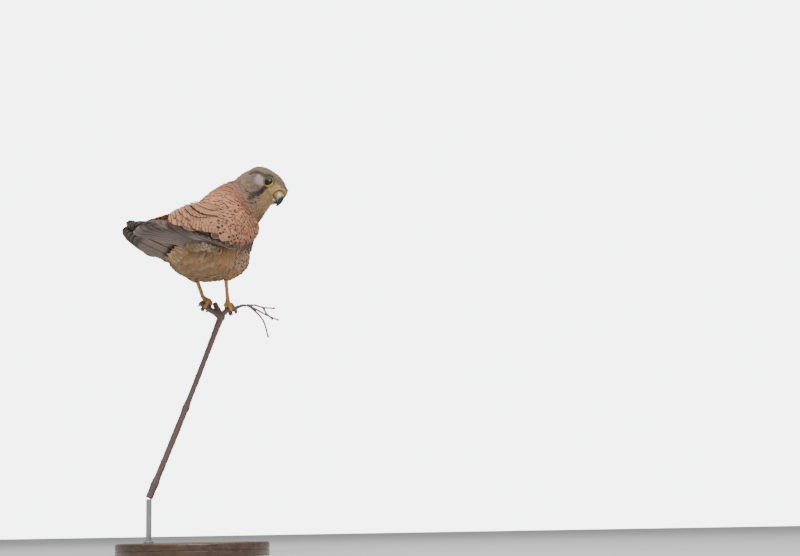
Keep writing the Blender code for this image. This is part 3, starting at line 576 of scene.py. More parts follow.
def vane_group():
    """Barbs, shaft, spot, bars, band and fringe of a feather, from its own attributes."""
    colour, number = "NodeSocketColor", "NodeSocketFloat"
    nodes, given, out = node_group(
        "vane pattern",
        (
            ("Dark", colour, (0.03, 0.024, 0.026, 1)), ("Pale", colour, (0.7, 0.58, 0.44, 1)),
            ("Bars", number, 5.0), ("Band", number, 0.0), ("Spot", number, 0.77),
        ),
        (("Color", colour), ("Height", number)),
    )
    place_ = nodes.add("ShaderNodeSeparateXYZ")
    nodes.feed(place_.inputs[0], nodes.add("ShaderNodeUVMap", uv_map="vane").outputs[0])
    u, v = place_.outputs[0], place_.outputs[1]
    aside = nodes.math("MULTIPLY_ADD", u, 2.0, -1.0)
    off = nodes.math("ABSOLUTE", aside)
    tint = nodes.add("ShaderNodeAttribute", attribute_name="tint")
    marks = nodes.add("ShaderNodeAttribute", attribute_name="marks")
    parts = nodes.add("ShaderNodeSeparateColor")
    nodes.feed(parts.inputs[0], marks.outputs["Color"])
    bars, fringe, shaft = parts.outputs
    chance = marks.outputs["Alpha"]
    drift = nodes.math("MULTIPLY", chance, 37.0)
    grain = nodes.add("ShaderNodeCombineXYZ")
    nodes.feed(grain.inputs[0], nodes.math("MULTIPLY", u, 3.0))
    nodes.feed(grain.inputs[1], nodes.math("MULTIPLY", v, 5.0))
    nodes.feed(grain.inputs[2], drift)
    cloud = nodes.noise(grain.outputs[0], 1.6, 2.0)
    barb = nodes.math("SUBTRACT", nodes.math("MULTIPLY", v, 46.0), nodes.math("MULTIPLY", off, 9.0))
    ribs = nodes.math("SINE", nodes.math("MULTIPLY", barb, 6.283))
    size = nodes.math("MAXIMUM", nodes.math("MULTIPLY", tint.outputs["Alpha"], 1.6), 0.1)
    rise = nodes.math("DIVIDE", nodes.math("SUBTRACT", v, given["Spot"]), nodes.math("MULTIPLY", size, 0.16))
    wide = nodes.math("MAXIMUM", nodes.math("MULTIPLY_ADD", rise, 0.18, 0.42), 0.05)
    across = nodes.math("DIVIDE", aside, nodes.math("MULTIPLY", wide, size))
    far = nodes.math("ADD", nodes.math("MULTIPLY", across, across), nodes.math("MULTIPLY", rise, rise))
    spot = nodes.math("MULTIPLY", nodes.step(far, 1.25, 0.7), nodes.step(tint.outputs["Alpha"], 0.1, 0.25))
    beat = nodes.math("ADD", nodes.math("MULTIPLY", v, given["Bars"]), nodes.math("MULTIPLY", aside, 0.35))
    beat = nodes.math("ABSOLUTE", nodes.math("SUBTRACT", nodes.math("FRACT", beat), 0.5))
    barred = nodes.math("MULTIPLY", nodes.step(beat, 0.17, 0.07), bars)
    band = nodes.math("MULTIPLY", nodes.step(v, 0.86, 0.89), nodes.step(v, 0.99, 0.97))
    band = nodes.math("MULTIPLY", band, given["Band"])
    dark = nodes.math("MAXIMUM", nodes.math("MAXIMUM", spot, barred), band)
    rim = nodes.math("MAXIMUM", nodes.step(off, 0.70, 0.96), nodes.step(v, 0.90, 0.99))
    rim = nodes.math("MULTIPLY", rim, fringe)
    line = nodes.math("MULTIPLY", nodes.step(off, 0.14, 0.04), shaft)
    light = nodes.math("MULTIPLY_ADD", cloud, 0.5, 0.74)
    light = nodes.math("ADD", light, nodes.math("MULTIPLY", ribs, 0.035))
    shade = nodes.add("ShaderNodeCombineColor")
    for socket in shade.inputs:
        nodes.feed(socket, light)
    body = nodes.mix(1.0, tint.outputs["Color"], shade.outputs[0], "MULTIPLY")
    body = nodes.mix(rim, body, given["Pale"])
    body = nodes.mix(dark, body, given["Dark"])
    body = nodes.mix(line, body, given["Dark"])
    nodes.feed(out[0], body)
    ridge = nodes.math("MULTIPLY", nodes.step(off, 0.12, 0.0), 0.8)
    nodes.feed(out[1], nodes.math("ADD", nodes.math("MULTIPLY", ribs, 0.25), ridge))
    return nodes.tree


def blank_material(name, roughness=0.6, **sockets):
    """A material, its nodes and its Principled shader with constants on the shader's own sockets."""
    mat = bpy.data.materials.new(name)
    mat.use_nodes = True
    nodes = Nodes(mat.node_tree)
    shader = mat.node_tree.nodes["Principled BSDF"]
    shader.inputs["Roughness"].default_value = roughness
    for label, value in sockets.items():
        shader.inputs[label.replace("_", " ")].default_value = value
    return mat, nodes, shader


def bump(nodes, shader, height, distance, strength=0.6):
    node = nodes.add("ShaderNodeBump")
    node.inputs["Strength"].default_value = strength
    node.inputs["Distance"].default_value = distance * MM
    nodes.feed(node.inputs["Height"], height)
    nodes.feed(shader.inputs["Normal"], node.outputs[0])


def feather_material(name, group, dark=None, pale=None, bars=5.0, band=0.0, spot=0.77, roughness=0.72):
    mat, nodes, shader = blank_material(
        name, roughness, Specular_IOR_Level=0.15, Sheen_Weight=0.03, Sheen_Roughness=0.5,
    )
    pattern = nodes.add("ShaderNodeGroup", node_tree=group)
    if dark:
        pattern.inputs["Dark"].default_value = (*dark, 1)
    if pale:
        pattern.inputs["Pale"].default_value = (*pale, 1)
    pattern.inputs["Bars"].default_value = bars
    pattern.inputs["Band"].default_value = band
    pattern.inputs["Spot"].default_value = spot
    nodes.feed(shader.inputs["Base Color"], pattern.outputs["Color"])
    bump(nodes, shader, pattern.outputs["Height"], 0.12, 0.35)
    return mat


def skin_material(name):
    """The down and skin under the feathers, in the same colours and a little darker."""
    mat, nodes, shader = blank_material(name, 0.9, Specular_IOR_Level=0.1)
    tint = nodes.add("ShaderNodeAttribute", attribute_name="tint")
    cloud = nodes.noise(nodes.object_place(), 260.0, 4.0)
    fluff = nodes.noise(nodes.object_place(), 900.0, 3.0)
    body = nodes.mix(nodes.step(cloud, 0.3, 0.75), tint.outputs["Color"], (0.05, 0.035, 0.03))
    body = nodes.mix(0.45, tint.outputs["Color"], body)
    nodes.feed(shader.inputs["Base Color"], body)
    bump(nodes, shader, fluff, 0.5, 0.6)
    return mat


def mottled_material(name, colours, scale, roughness, depth=0.1, stretch=(1, 1, 1), gloss=0.5, coat=0.0,
                     metallic=0.0, detail=5.0):
    """Two or three colours in soft patches over the object, with a fine bump."""
    mat, nodes, shader = blank_material(
        name, roughness, Specular_IOR_Level=gloss, Coat_Weight=coat, Metallic=metallic,
    )
    spot = nodes.stretched(nodes.object_place(), stretch)
    patch = nodes.noise(spot, scale, detail)
    body = nodes.mix(nodes.step(patch, 0.35, 0.65), colours[0], colours[1])
    if len(colours) > 2:
        fine = nodes.noise(spot, scale * 4.2, detail)
        body = nodes.mix(nodes.step(fine, 0.55, 0.72), body, colours[2])
    nodes.feed(shader.inputs["Base Color"], body)
    grain = nodes.noise(spot, scale * 7, 4.0)
    nodes.feed(shader.inputs["Roughness"], nodes.math("MULTIPLY_ADD", grain, 0.3, roughness - 0.15, clamp=True))
    bump(nodes, shader, grain, depth, 0.5)
    return mat


# Plumage zones

COLOURS = {
    "chestnut": (0.60, 0.285, 0.16), "mantle": (0.42, 0.175, 0.095), "rump": (0.27, 0.22, 0.20),
    "crown": (0.27, 0.195, 0.155), "nape": (0.30, 0.22, 0.175), "cheek": (0.50, 0.43, 0.41),
    "malar": (0.065, 0.05, 0.055), "throat": (0.60, 0.41, 0.22), "lore": (0.62, 0.47, 0.22),
    "neck": (0.25, 0.175, 0.135), "neck_front": (0.38, 0.24, 0.135), "breast": (0.50, 0.32, 0.22),
    "belly": (0.38, 0.235, 0.12), "belly_pale": (0.52, 0.37, 0.22), "belly_rufous_and_shade": (0.31, 0.17, 0.083),
    "thigh": (0.45, 0.215, 0.10), "flight": (0.125, 0.096, 0.09), "flight_pale": (0.19, 0.145, 0.13),
    "coverts_dark": (0.10, 0.068, 0.058), "tail": (0.25, 0.185, 0.15), "down": (0.70, 0.58, 0.43),
}
COLOURS = {name: np.array(rgb) for name, rgb in COLOURS.items()}
FLESH = ("head", "neck", "torso", "thigh_right", "thigh_left")
# For each part: feather length, half width, tip lift, spacing, and the skin's depth
PART_SIZES = {
    "head": (3.4, 0.48, 0.7, 0.92, 0.5), "neck": (6.4, 0.85, 1.3, 1.4, 1.1),
    "torso": (10.5, 1.9, 2.2, 2.4, 0.8), "thigh": (8.0, 1.2, 1.6, 1.8, 0.9),
}


def spread(colours, weights):
    """Mixes a base colour with others in turn, each by its own weight for each point."""
    made = np.broadcast_to(COLOURS[colours[0]], (len(weights[0]), 3)).copy()
    for name, weight in zip(colours[1:], weights):
        made += (COLOURS[name] - made) * np.clip(weight, 0, 1)[:, None]
    return made


def near_line(p, line, width):
    """1 on a line of (forward, aside, up) places on the head, fading over a width."""
    line = np.array(line, float)
    best = np.full(len(p), 1e9)
    for a, b in zip(line, line[1:]):
        t = np.clip(((p - a) @ (b - a)) / ((b - a) @ (b - a)), 0, 1)
        best = np.minimum(best, np.linalg.norm(p - a - t[:, None] * (b - a), axis=1))
    return 1 - smooth(width * 0.55, width * 1.35, best)


# Lines on the head's side as (forward, aside, up), the same on both sides
MALAR_LINE = ((11.5, 13.5, -3.2), (13.9, 16.3, -9.9), (15.2, 20.9, -16.3), (17.5, 25.0, -22.5))
BROW_LINE = ((10, 13.5, 9.8), (1.5, 15.9, 8.0), (-6, 17.4, 6.8), (-11.5, 18.0, 5.0), (-13.5, 19.5, 1.5))
REAR_LINE = ((-5.5, 20.5, -1.5), (-2.0, 22.0, -5.5), (2.5, 24.5, -9.5))
CHEEK_PLACE, CHEEK_WAY, CHEEK_HALF = (2.4, 0.0), (0.847, -0.532), (9.0, 3.1)


def dark_lines(points):
    """How dark the lines on the head and neck are: below the eye, above it and behind the cheek."""
    p = (points - HEAD_CENTRE) @ HEAD_FRAME
    p[:, 1] = np.abs(p[:, 1])
    malar, brow, rear = (near_line(p, line, wide) for line, wide in (
        (MALAR_LINE, 2.5), (BROW_LINE, 2.2), (REAR_LINE, 2.2),
    ))
    return np.maximum(malar, np.maximum(brow * 0.75, rear * 0.35))


def head_tints(points):
    """Head colours: crown, cheek, throat and lore, and how streaked they are."""
    f, r, u = ((points - HEAD_CENTRE) @ HEAD_FRAME).T
    aside = smooth(4, 11, np.abs(r))
    nape = smooth(-12, -24, f)
    throat = smooth(-4, -9, u) * smooth(-2, 8, f) * (1 - smooth(12, 17, np.abs(r)))
    ahead, over = f - CHEEK_PLACE[0], u - CHEEK_PLACE[1]
    along = ahead * CHEEK_WAY[0] + over * CHEEK_WAY[1]
    across = over * CHEEK_WAY[0] - ahead * CHEEK_WAY[1]
    cheek = (1 - smooth(0.7, 1.25, np.hypot(along / CHEEK_HALF[0], across / CHEEK_HALF[1]))) * aside
    lore = smooth(12.5, 16, f) * (1 - smooth(5, 9, u)) * smooth(-8, -3, u) * (1 - smooth(11, 15, np.abs(r)))
    tint = spread(("crown", "nape", "throat", "lore", "cheek"), (nape, throat, lore * 0.9, cheek * 0.95))
    streak = 0.5 * (1 - throat) * (1 - cheek) * (1 - lore) + 0.12
    return tint, streak


def plumage(points, normals, weights, rng):
    """Colours and marks of the body's plumage at points: (tint, marks, sizes, wispy)."""
    count = len(points)
    x, y, z = points.T
    up = normals[:, 2]
    head, head_streak = head_tints(points)
    front = smooth(0.1, -0.35, up) * smooth(-8, -30, y)
    reach = (points - NECK_PATH[0]) @ unit(np.subtract(NECK_PATH[2], NECK_PATH[0]))
    collar = 18 + 13 * np.clip(up, 0, 1)
    neck = spread(("neck", "neck_front", "mantle"), (front, smooth(3, -3, reach - collar) * (1 - front)))
    low =np.maximum(1 - smooth(-0.25, 0.3, up), 1 - smooth(46, 60, z))
    rump = smooth(45, 62, y) * (1 - low)
    plain = smooth(-4, -22, y) * (1 - low)
    side = np.arctan2(x, np.maximum(z - 20, 1))
    streaks = 0.5 + 0.5 * np.sin(side * 17 + np.sin(y * 0.11) * 1.6 + np.sin(z * 0.17))
    streaks = streaks * 0.7 + rng.random(count) * 0.3
    breast = smooth(31, 19, y) * (1 - smooth(0.25, 0.55, up)) * (1 - smooth(88, 100, z)) * smooth(28, 35, z)
    # A darker rufous patch on the low belly behind the legs: partly the belly's own rufous tone, partly painted shade
    # under the legs.
    rufous_and_shade_behind_leg = smooth(25, 33, y) * smooth(58, 48, y) * low * 0.6
    torso = spread(
        ("chestnut", "mantle", "rump", "belly", "belly_pale", "belly_rufous_and_shade", "thigh", "breast"),
        (plain, rump * 0.9, low, low * smooth(0.62, 0.9, streaks) * 0.75,
         low * smooth(0.42, 0.15, streaks) * 0.55, rufous_and_shade_behind_leg, breast * 0.85),
    )
    thigh = spread(("thigh", "belly_pale", "breast"), (smooth(0.7, 1.0, streaks) * 0.4, breast * 0.85))
    marks = np.zeros((count, 5))
    tint = np.zeros((count, 3))
    sizes = np.zeros((count, 5))
    spots = 0.8 * (1 - low) * (1 - plain * 0.7) * (1 - rump) * (rng.random(count) < 0.3)
    spots = spots * (1 - breast) + breast * (rng.random(count) < 0.32)
    streak = (head_streak, 0.35 * rng.random(count) ** 2, 0.05 + 0.45 * breast, 0.05)
    groups = (weights[:, 0], weights[:, 1], weights[:, 2], weights[:, 3] + weights[:, 4])
    kinds = ("head", "neck", "torso", "thigh")
    for weight, colour, name, line in zip(groups, (head, neck, torso, thigh), kinds, streak):
        tint += colour * weight[:, None]
        sizes += np.array(PART_SIZES[name]) * weight[:, None]
        marks[:, 3] += weight * line
    tint += (COLOURS["malar"] - tint) * (dark_lines(points) * (weights[:, 0] + weights[:, 1]))[:, None]
    # Painted shade: the low belly is darkened towards the bottom, under the bird.
    tint *= (1 - 0.28 * smooth(40, 26, z) * low * weights[:, 2])[:, None]
    marks[:, 0] = spots * (weights[:, 2] + breast * groups[3])
    marks[:, 2] = 0.2 * (1 - weights[:, 0]) * (1 - 0.5 * weights[:, 1])
    marks[:, 4] = rng.random(count)
    wispy = np.clip(low * weights[:, 2] + weights[:, 3] + weights[:, 4], 0, 1)
    f = ((points - HEAD_CENTRE) @ HEAD_FRAME)[:, 0]
    face = weights[:, 0] * smooth(2, 14, f)
    sizes[:, 0] *= 1 - 0.42 * face
    sizes[:, 1] *= 1 - 0.3 * face
    sizes[:, 2] *= 1 - 0.4 * face
    sizes[:, 3] *= 1 - 0.22 * face
    back = weights[:, 2] * (1 - low)
    sizes[:, 1] *= 1 + 0.45 * back
    sizes[:, 3] *= 1 + 0.22 * back
    sizes[:, 2] *= 1 - 0.1 * back - 0.35 * wispy
    vent = weights[:, 2] * low * smooth(50, 85, y)
    sizes[:, 0] *= 1 + 0.35 * vent
    return tint, marks, sizes, wispy


def part_weights(points, trees, reach=5.0):
    """How much each point belongs to each flesh part, from its distance to the CAD nodes."""
    far = np.array([[tree.find_nearest(p)[3] for tree in trees] for p in points.tolist()])
    weights = np.exp(-((far - far.min(1, keepdims=True)) / reach))
    weights[far > far.min(1, keepdims=True) + 3 * reach] = 0
    weights = weights / weights.sum(1, keepdims=True)
    off = points - HEAD_CENTRE
    share = smooth(-27, -17, off @ HEAD_FORWARD) * (1 - smooth(24, 31, np.linalg.norm(off, axis=1)))
    return weights * (1 - share[:, None]) + share[:, None] * np.eye(len(trees))[0]


class Body:
    """The skin's points, its lie of the feathers, and trees of the flesh parts that weigh which part each point belongs
    to.
    """

    def __init__(self, obj):
        self.points, self.normals, self.tris = mesh_arrays(obj)
        self.trees = [node_tree(node) for node in FLESH]
        self.weights = part_weights(self.points, self.trees)
        self.reach, self.flow = self.lie()
        self.tree = None

    def links(self):
        a = np.concatenate([self.tris[:, i] for i in (0, 1, 2)])
        b = np.concatenate([self.tris[:, i] for i in (1, 2, 0)])
        pairs = np.unique(np.sort(np.stack((a, b), 1), axis=1), axis=0)
        return np.concatenate((pairs, pairs[:, ::-1]))

    def averaged(self, values, links, rounds):
        values = values.copy()
        count = np.bincount(links[:, 0], minlength=len(self.points)).astype(float)
        for _ in range(rounds):
            for k in range(values.shape[1]):
                total = np.bincount(links[:, 0], values[links[:, 1], k], len(self.points))
                values[:, k] = 0.5 * values[:, k] + 0.5 * total / np.maximum(count, 1)
        return values

    def lie(self):
        """Distance over the skin from the bill, and the way that it grows: the feathers' lie."""
        links = self.links()
        steps = np.linalg.norm(self.points[links[:, 0]] - self.points[links[:, 1]], axis=1)
        order = np.argsort(links[:, 0], kind="stable")
        links, steps = links[order], steps[order]
        starts = np.searchsorted(links[:, 0], np.arange(len(self.points) + 1)).tolist()
        ends, costs = links[:, 1].tolist(), steps.tolist()
        first = int(np.linalg.norm(self.points - head_point(22, 0, -3), axis=1).argmin())
        reach = [1e9] * len(self.points)
        reach[first] = 0.0
        queue = [(0.0, first)]
        while queue:
            here, i = heapq.heappop(queue)
            if here > reach[i]:
                continue
            for k in range(starts[i], starts[i + 1]):
                there = here + costs[k]
                if there < reach[ends[k]]:
                    reach[ends[k]] = there
                    heapq.heappush(queue, (there, ends[k]))
        reach = np.array(reach)
        reach[reach > 1e8] = 0
        soft = self.averaged(reach[:, None], links, 30)[:, 0]
        way = self.points[links[:, 1]] - self.points[links[:, 0]]
        gain = (soft[links[:, 1]] - soft[links[:, 0]]) / np.maximum(steps, 1e-6) ** 2
        flow = np.stack([
            np.bincount(links[:, 0], way[:, k] * gain, len(self.points)) for k in range(3)
        ], 1)
        flow = self.averaged(unit(flow), links, 12)
        flow = unit(flow - self.normals * dots(flow, self.normals))
        return reach, flow


def skin_unwrap(points, reach):
    """An unwrap of the skin's own shape: turn about the body's line, and distance from the bill."""
    line = np.concatenate((
        [head_point(20, 0, 0), HEAD_CENTRE], bezier(NECK_PATH, (0.9, 0.6, 0.3)), np.array(TORSO_AXIS, float),
    ))
    line = smoothed(line, 80)
    ways = unit(np.gradient(line, axis=0))
    tree = KDTree(len(line))
    for i, p in enumerate(line.tolist()):
        tree.insert(p, i)
    tree.balance()
    near = np.array([tree.find(p)[1] for p in points.tolist()])
    way = ways[near]
    aside = unit(np.cross(way, UP))
    over = np.cross(aside, way)
    off = points - line[near]
    turn = np.arctan2((off * aside).sum(1), (off * over).sum(1)) / (2 * math.pi) + 0.5
    span = max(float(reach.max() - reach.min()), 1.0)
    return np.stack((0.01 + 0.98 * turn, 0.01 + 0.98 * (reach - reach.min()) / span), 1)


def scatter_roots(body, rng, density):
    """Even roots over the skin, closer together where the feathers are small."""
    corners = body.points[body.tris]
    areas = np.linalg.norm(np.cross(corners[:, 1] - corners[:, 0], corners[:, 2] - corners[:, 0]), axis=1) / 2
    spacing = np.array([PART_SIZES[name][3] for name in ("head", "neck", "torso", "thigh", "thigh")])
    weights = body.weights[body.tris].mean(1)
    chance = areas / (weights @ spacing) ** 2
    pick = rng.choice(len(areas), size=int(chance.sum() * 5), p=chance / chance.sum())
    mix = rng.dirichlet((1, 1, 1), len(pick))
    tri = body.tris[pick]

    def blend(values):
        return (values[tri] * mix[..., None]).sum(1)

    points, normals, flow = blend(body.points), unit(blend(body.normals)), unit(blend(body.flow))
    weights, reach = blend(body.weights), blend(body.reach[:, None])[:, 0]
    tint, marks, sizes, wispy = plumage(points, normals, weights, rng)
    tree = KDTree(len(points))
    for i, p in enumerate(points.tolist()):
        tree.insert(p, i)
    tree.balance()
    alive = np.ones(len(points), bool)
    kept = []
    for i, (p, gap) in enumerate(zip(points.tolist(), (sizes[:, 3] * density).tolist())):
        if alive[i]:
            kept.append(i)
            for _, j, _ in tree.find_range(p, gap):
                alive[j] = False
    kept = np.array(kept)
    return [a[kept] for a in (points, normals, flow, weights, reach, tint, marks, sizes, wispy)]


def clear_of(points, normals, trees, reach):
    """True where nothing lies close over the skin."""
    free = np.ones(len(points), bool)
    for i, (p, n) in enumerate(zip(points.tolist(), normals.tolist())):
        for tree in trees:
            if tree.ray_cast(Vector(p) + Vector(n) * 0.1, n, reach)[0] is not None:
                free[i] = False
                break
    return free


def clear_of_eyes(points, flow, sizes):
    free = np.ones(len(points), bool)
    for side in (RIGHT, LEFT):
        out = eye_out(side)
        for share, margin in ((0.0, 6.5), (1.0, 6.1)):
            off = points + flow * sizes[:, :1] * share - eye_centre(side)
            beside = np.linalg.norm(off - dots(off, out) * out, axis=1)
            free &= (beside > margin) | ((off @ out) < 0)
    return free


def lay_feathers(coat, body_tree, chosen, bake, rows, columns, shape, rng, thick=0.14):
    """Adds contour feathers that follow the skin from their roots."""
    points, normals, flow, _, _, tint, marks, sizes, _ = chosen
    count = len(points)
    s = np.linspace(0, 1, rows) ** 0.9
    c = np.linspace(-1, 1, columns)
    length = sizes[:, 0] * rng.uniform(0.82, 1.18, count)
    half = sizes[:, 1] * rng.uniform(0.85, 1.15, count)
    lift = sizes[:, 2] * rng.uniform(0.7, 1.3, count)
    turn = rng.normal(0, 0.13, count)[:, None]
    side = np.cross(flow, normals)
    way = unit(flow * np.cos(turn) + side * np.sin(turn))
    side = np.cross(way, normals)
    width = eased(shape, s)[:, 0]
    grid = points[:, None, None, :] + way[:, None, None, :] * (length[:, None, None, None] * s[:, None, None])
    grid = grid + side[:, None, None, :] * (half[:, None, None] * width[:, None] * c)[..., None]
    found = np.array([
        (*near, *normal) for near, normal in
        ((hit[0], hit[1]) for hit in map(body_tree.find_nearest, grid.reshape(-1, 3).tolist()))
    ])
    base = found[:, :3].reshape(count, rows, columns, 3)
    out = unit(found[:, 3:].reshape(count, rows, columns, 3) * 0.6 + normals[:, None, None, :] * 0.4)
    height = 0.05 + lift[:, None, None] * (s**1.15)[:, None] + (half * 0.18)[:, None, None] * (1 - c * c)
    low = base + out * height[..., None]
    coat.add(low + out * thick, low, tint, marks, bake)


MAX_TRIANGLES = 190000
# Name, rows and columns of each feather, its outline and its slot
COAT_PIECES = {
    "head_tufts": (4, 3, CONTOUR, "grey_feather"), "neck_feathers": (5, 3, CONTOUR, "grey_feather"),
    "back_feathers": (6, 5, BROAD, "chestnut_feather"), "belly_down": (5, 3, CONTOUR, "buff_feather"),
    "thigh_down": (5, 3, CONTOUR, "buff_feather"),
}


def keep_largest(obj):
    """Keeps the closed surface with the most faces."""
    bm = bmesh.new()
    bm.from_mesh(obj.data)
    left, best = set(bm.verts), []
    while left:
        start = left.pop()
        island, stack = [start], [start]
        while stack:
            for edge in stack.pop().link_edges:
                for vert in edge.verts:
                    if vert in left:
                        left.remove(vert)
                        island.append(vert)
                        stack.append(vert)
        best = max(best, island, key=len)
    kept = set(best)
    bmesh.ops.delete(bm, geom=[v for v in bm.verts if v not in kept], context="VERTS")
    bm.to_mesh(obj.data)
    bm.free()
    return obj


def move_points(obj, points):
    obj.data.vertices.foreach_set("co", ((points + GRIP) * MM).astype(np.float32).ravel())
    obj.data.update()


def grow_plumage(spacing):
    """The body's skin, then its head tufts, neck and back feathers, belly and thigh down."""
    rng = np.random.default_rng(11)
    nape = smoothed([head_point(-13, 0, -1.5), head_point(-24, 0, -1), bezier(NECK_PATH, (0.5,))[0]], 14)
    radii = eased(((0, 10.5), (0.5, 16.0), (1, 25.8)), np.linspace(0, 1, 14))[:, 0]
    nape = new_mesh("nape", *lofted([tube_rings(nape, radii, 36)]))
    skin = keep_largest(remeshed(copied_nodes("body_skin", FLESH, nape), 1.1, 6))
    bpy.data.objects.remove(nape)
    body = Body(skin)
    tint, _, _, _ = plumage(body.points, body.normals, body.weights, rng)
    depths = np.array([PART_SIZES[name][4] for name in ("head", "neck", "torso", "thigh", "thigh")])
    body.points = body.points - body.normals * (body.weights @ depths)[:, None]
    f, r, u = ((body.points - HEAD_CENTRE) @ HEAD_FRAME).T
    face = 1 - smooth(0.75, 1.15, np.hypot(r / 6.3, (u + 2.2) / 6.6))
    body.points -= HEAD_FORWARD * (face * np.clip(f - 15.8, 0, None) * body.weights[:, 0])[:, None]
    move_points(skin, body.points)
    set_attribute(skin.data, "tint", "FLOAT_COLOR", np.column_stack((tint * 0.8, np.ones(len(tint)))))
    finish_piece(skin, finish("body skin"), "buff_feather", *FLESH)
    tree = BVHTree.FromPolygons(body.points.tolist(), body.tris.tolist())

    chosen = scatter_roots(body, rng, spacing)
    points, normals, flow, weights, _, _, _, sizes, wispy = chosen
    free = clear_of(points, normals, [node_tree("wing_right"), node_tree("wing_left")], 12.0)
    free &= clear_of(points, normals, [node_tree("tail")], 6.0)
    free &= clear_of_eyes(points, flow, sizes)
    for node in ("cere", "bill_upper", "bill_lower"):
        hard = node_tree(node)
        free &= np.array([hard.find_nearest(p)[3] > 0.3 for p in points.tolist()])
    f, r, u = ((points - HEAD_CENTRE) @ HEAD_FRAME).T
    free &= (np.hypot(r / 5.6, (u + 1.9) / 5.4) > 1) | (f < 12)
    main = weights.argmax(1)
    sorts = {
        "head_tufts": main == 0, "neck_feathers": main == 1, "back_feathers": (main == 2) & (wispy < 0.5),
        "belly_down": (main == 2) & (wispy >= 0.5), "thigh_down": main > 2,
    }
    for name, chance in sorts.items():
        rows, columns, shape, slot = COAT_PIECES[name]
        picked = np.flatnonzero(chance & free)
        each = 4 * (rows - 1) * (columns - 1) + 4 * (rows + columns - 2)
        parts = math.ceil(len(picked) * each / MAX_TRIANGLES)
        for k, some in enumerate(np.array_split(picked, parts)):
            coat = Coat()
            these = [a[some] for a in chosen]
            lay_feathers(coat, tree, these, skin_unwrap(these[0], these[4]), rows, columns, shape, rng)
            label = name if parts == 1 else f"{name}_{k + 1}"
            finish_piece(coat.build(label), finish("body feathers"), slot)


# Wings

PRIMARY_TIPS = (
    (228, 2.5), (238, 4.5), (243, 6.5), (239, 8.8), (229, 10.2), (217, 11), (205, 11.8), (193, 12.6), (181, 13.4),
)
SECONDARY_TIPS = ((178, 13.5), (172, 15), (166, 16.5), (160, 18.5), (154, 21), (148, 24), (142, 27))
TERTIAL_TIPS = ((134, 37), (151, 31), (166, 25), (179, 19), (189, 13.5))
SCAPULAR_TIPS = ((76, 53), (90, 51), (104, 48), (118, 44))
# Rows of coverts: tips along the wing, length, half width, first and last place across, lift
COVERT_ROWS = (
    (170, 32, 3.7, 12, 24, 8.0), (157, 32, 3.7, 13, 32, 7.8), (145, 31, 3.7, 14, 38, 7.2),
    (133, 30, 3.7, 12, 42, 6.2), (121, 28, 3.6, 8, 46, 4.9), (110, 26, 3.6, 5.5, 48, 3.7),
    (99, 24, 3.5, 4, 51, 2.9), (89, 22, 3.4, 3, 54, 2.4), (79, 21, 3.4, 3, 57, 2.1), (70, 20, 3.3, 2, 59, 1.9),
    (61, 18, 3.2, 1, 60, 1.8), (52, 17, 3.1, 1, 60, 1.7), (43, 16, 3.0, 1, 60, 1.7), (34, 15, 3.0, 1, 59, 1.6),
    (26, 14, 2.9, 2, 58, 1.6), (18, 13, 2.9, 3, 56, 1.5), (10, 13, 2.8, 5, 52, 1.5), (2, 12, 2.7, 8, 48, 1.4),
    (-5, 11, 2.6, 12, 42, 1.3),
)
BARRED_BEYOND = (108, 136)
# Along the wing: the height across of the line between grey and chestnut
GREY_BELOW = (
    (-20, -9), (30, -7), (50, -1.5), (79, 3), (107, 5.5), (127, 10), (139, 12), (168, 10.5), (185, 13), (246, 18),
)


def marks_row(spot=0.0, bars=0.0, fringe=0.0, shaft=0.0, chance=0.0):
    return np.array([(spot, bars, fringe, shaft, chance)])


def varied(name, rng, spread_=0.08):
    return (COLOURS[name] * (1 + rng.normal(0, spread_)) * (1 + rng.normal(0, spread_ / 4, 3)))[None]


def wing_skin(side, surface):
    """The padded front of the wing under its coverts."""
    rings = []
    for share in np.linspace(0, 1, 40):
        low, tall, deep = eased(WING_BODY, share)
        a = np.linspace(0, 2 * math.pi, 40, endpoint=False)
        across = low + tall * (0.5 - 0.5 * np.cos(a))
        out = np.sin(a) * np.where(np.sin(a) > 0, 2.2, deep)
        rings.append(surface(WING_FRONT + WING_BODY_LENGTH * share, across, out - 2.0))
    verts, faces = lofted([rings])
    obj = new_mesh(f"wing_{SIDE_NAMES[side]}_skin", verts, faces)
    points = mesh_arrays(obj)[0]
    tint = np.broadcast_to(COLOURS["chestnut"] * 0.7, points.shape)
    set_attribute(obj.data, "tint", "FLOAT_COLOR", np.column_stack((tint, np.ones(len(points)))))
    return finish_piece(obj, finish("body skin"), "chestnut_feather")


def wing_bake(root, tip):
    along, across = (np.array(root, float) + np.array(tip, float)) / 2
    return np.array([((along + 25) / 280, (across + 10) / 80)])


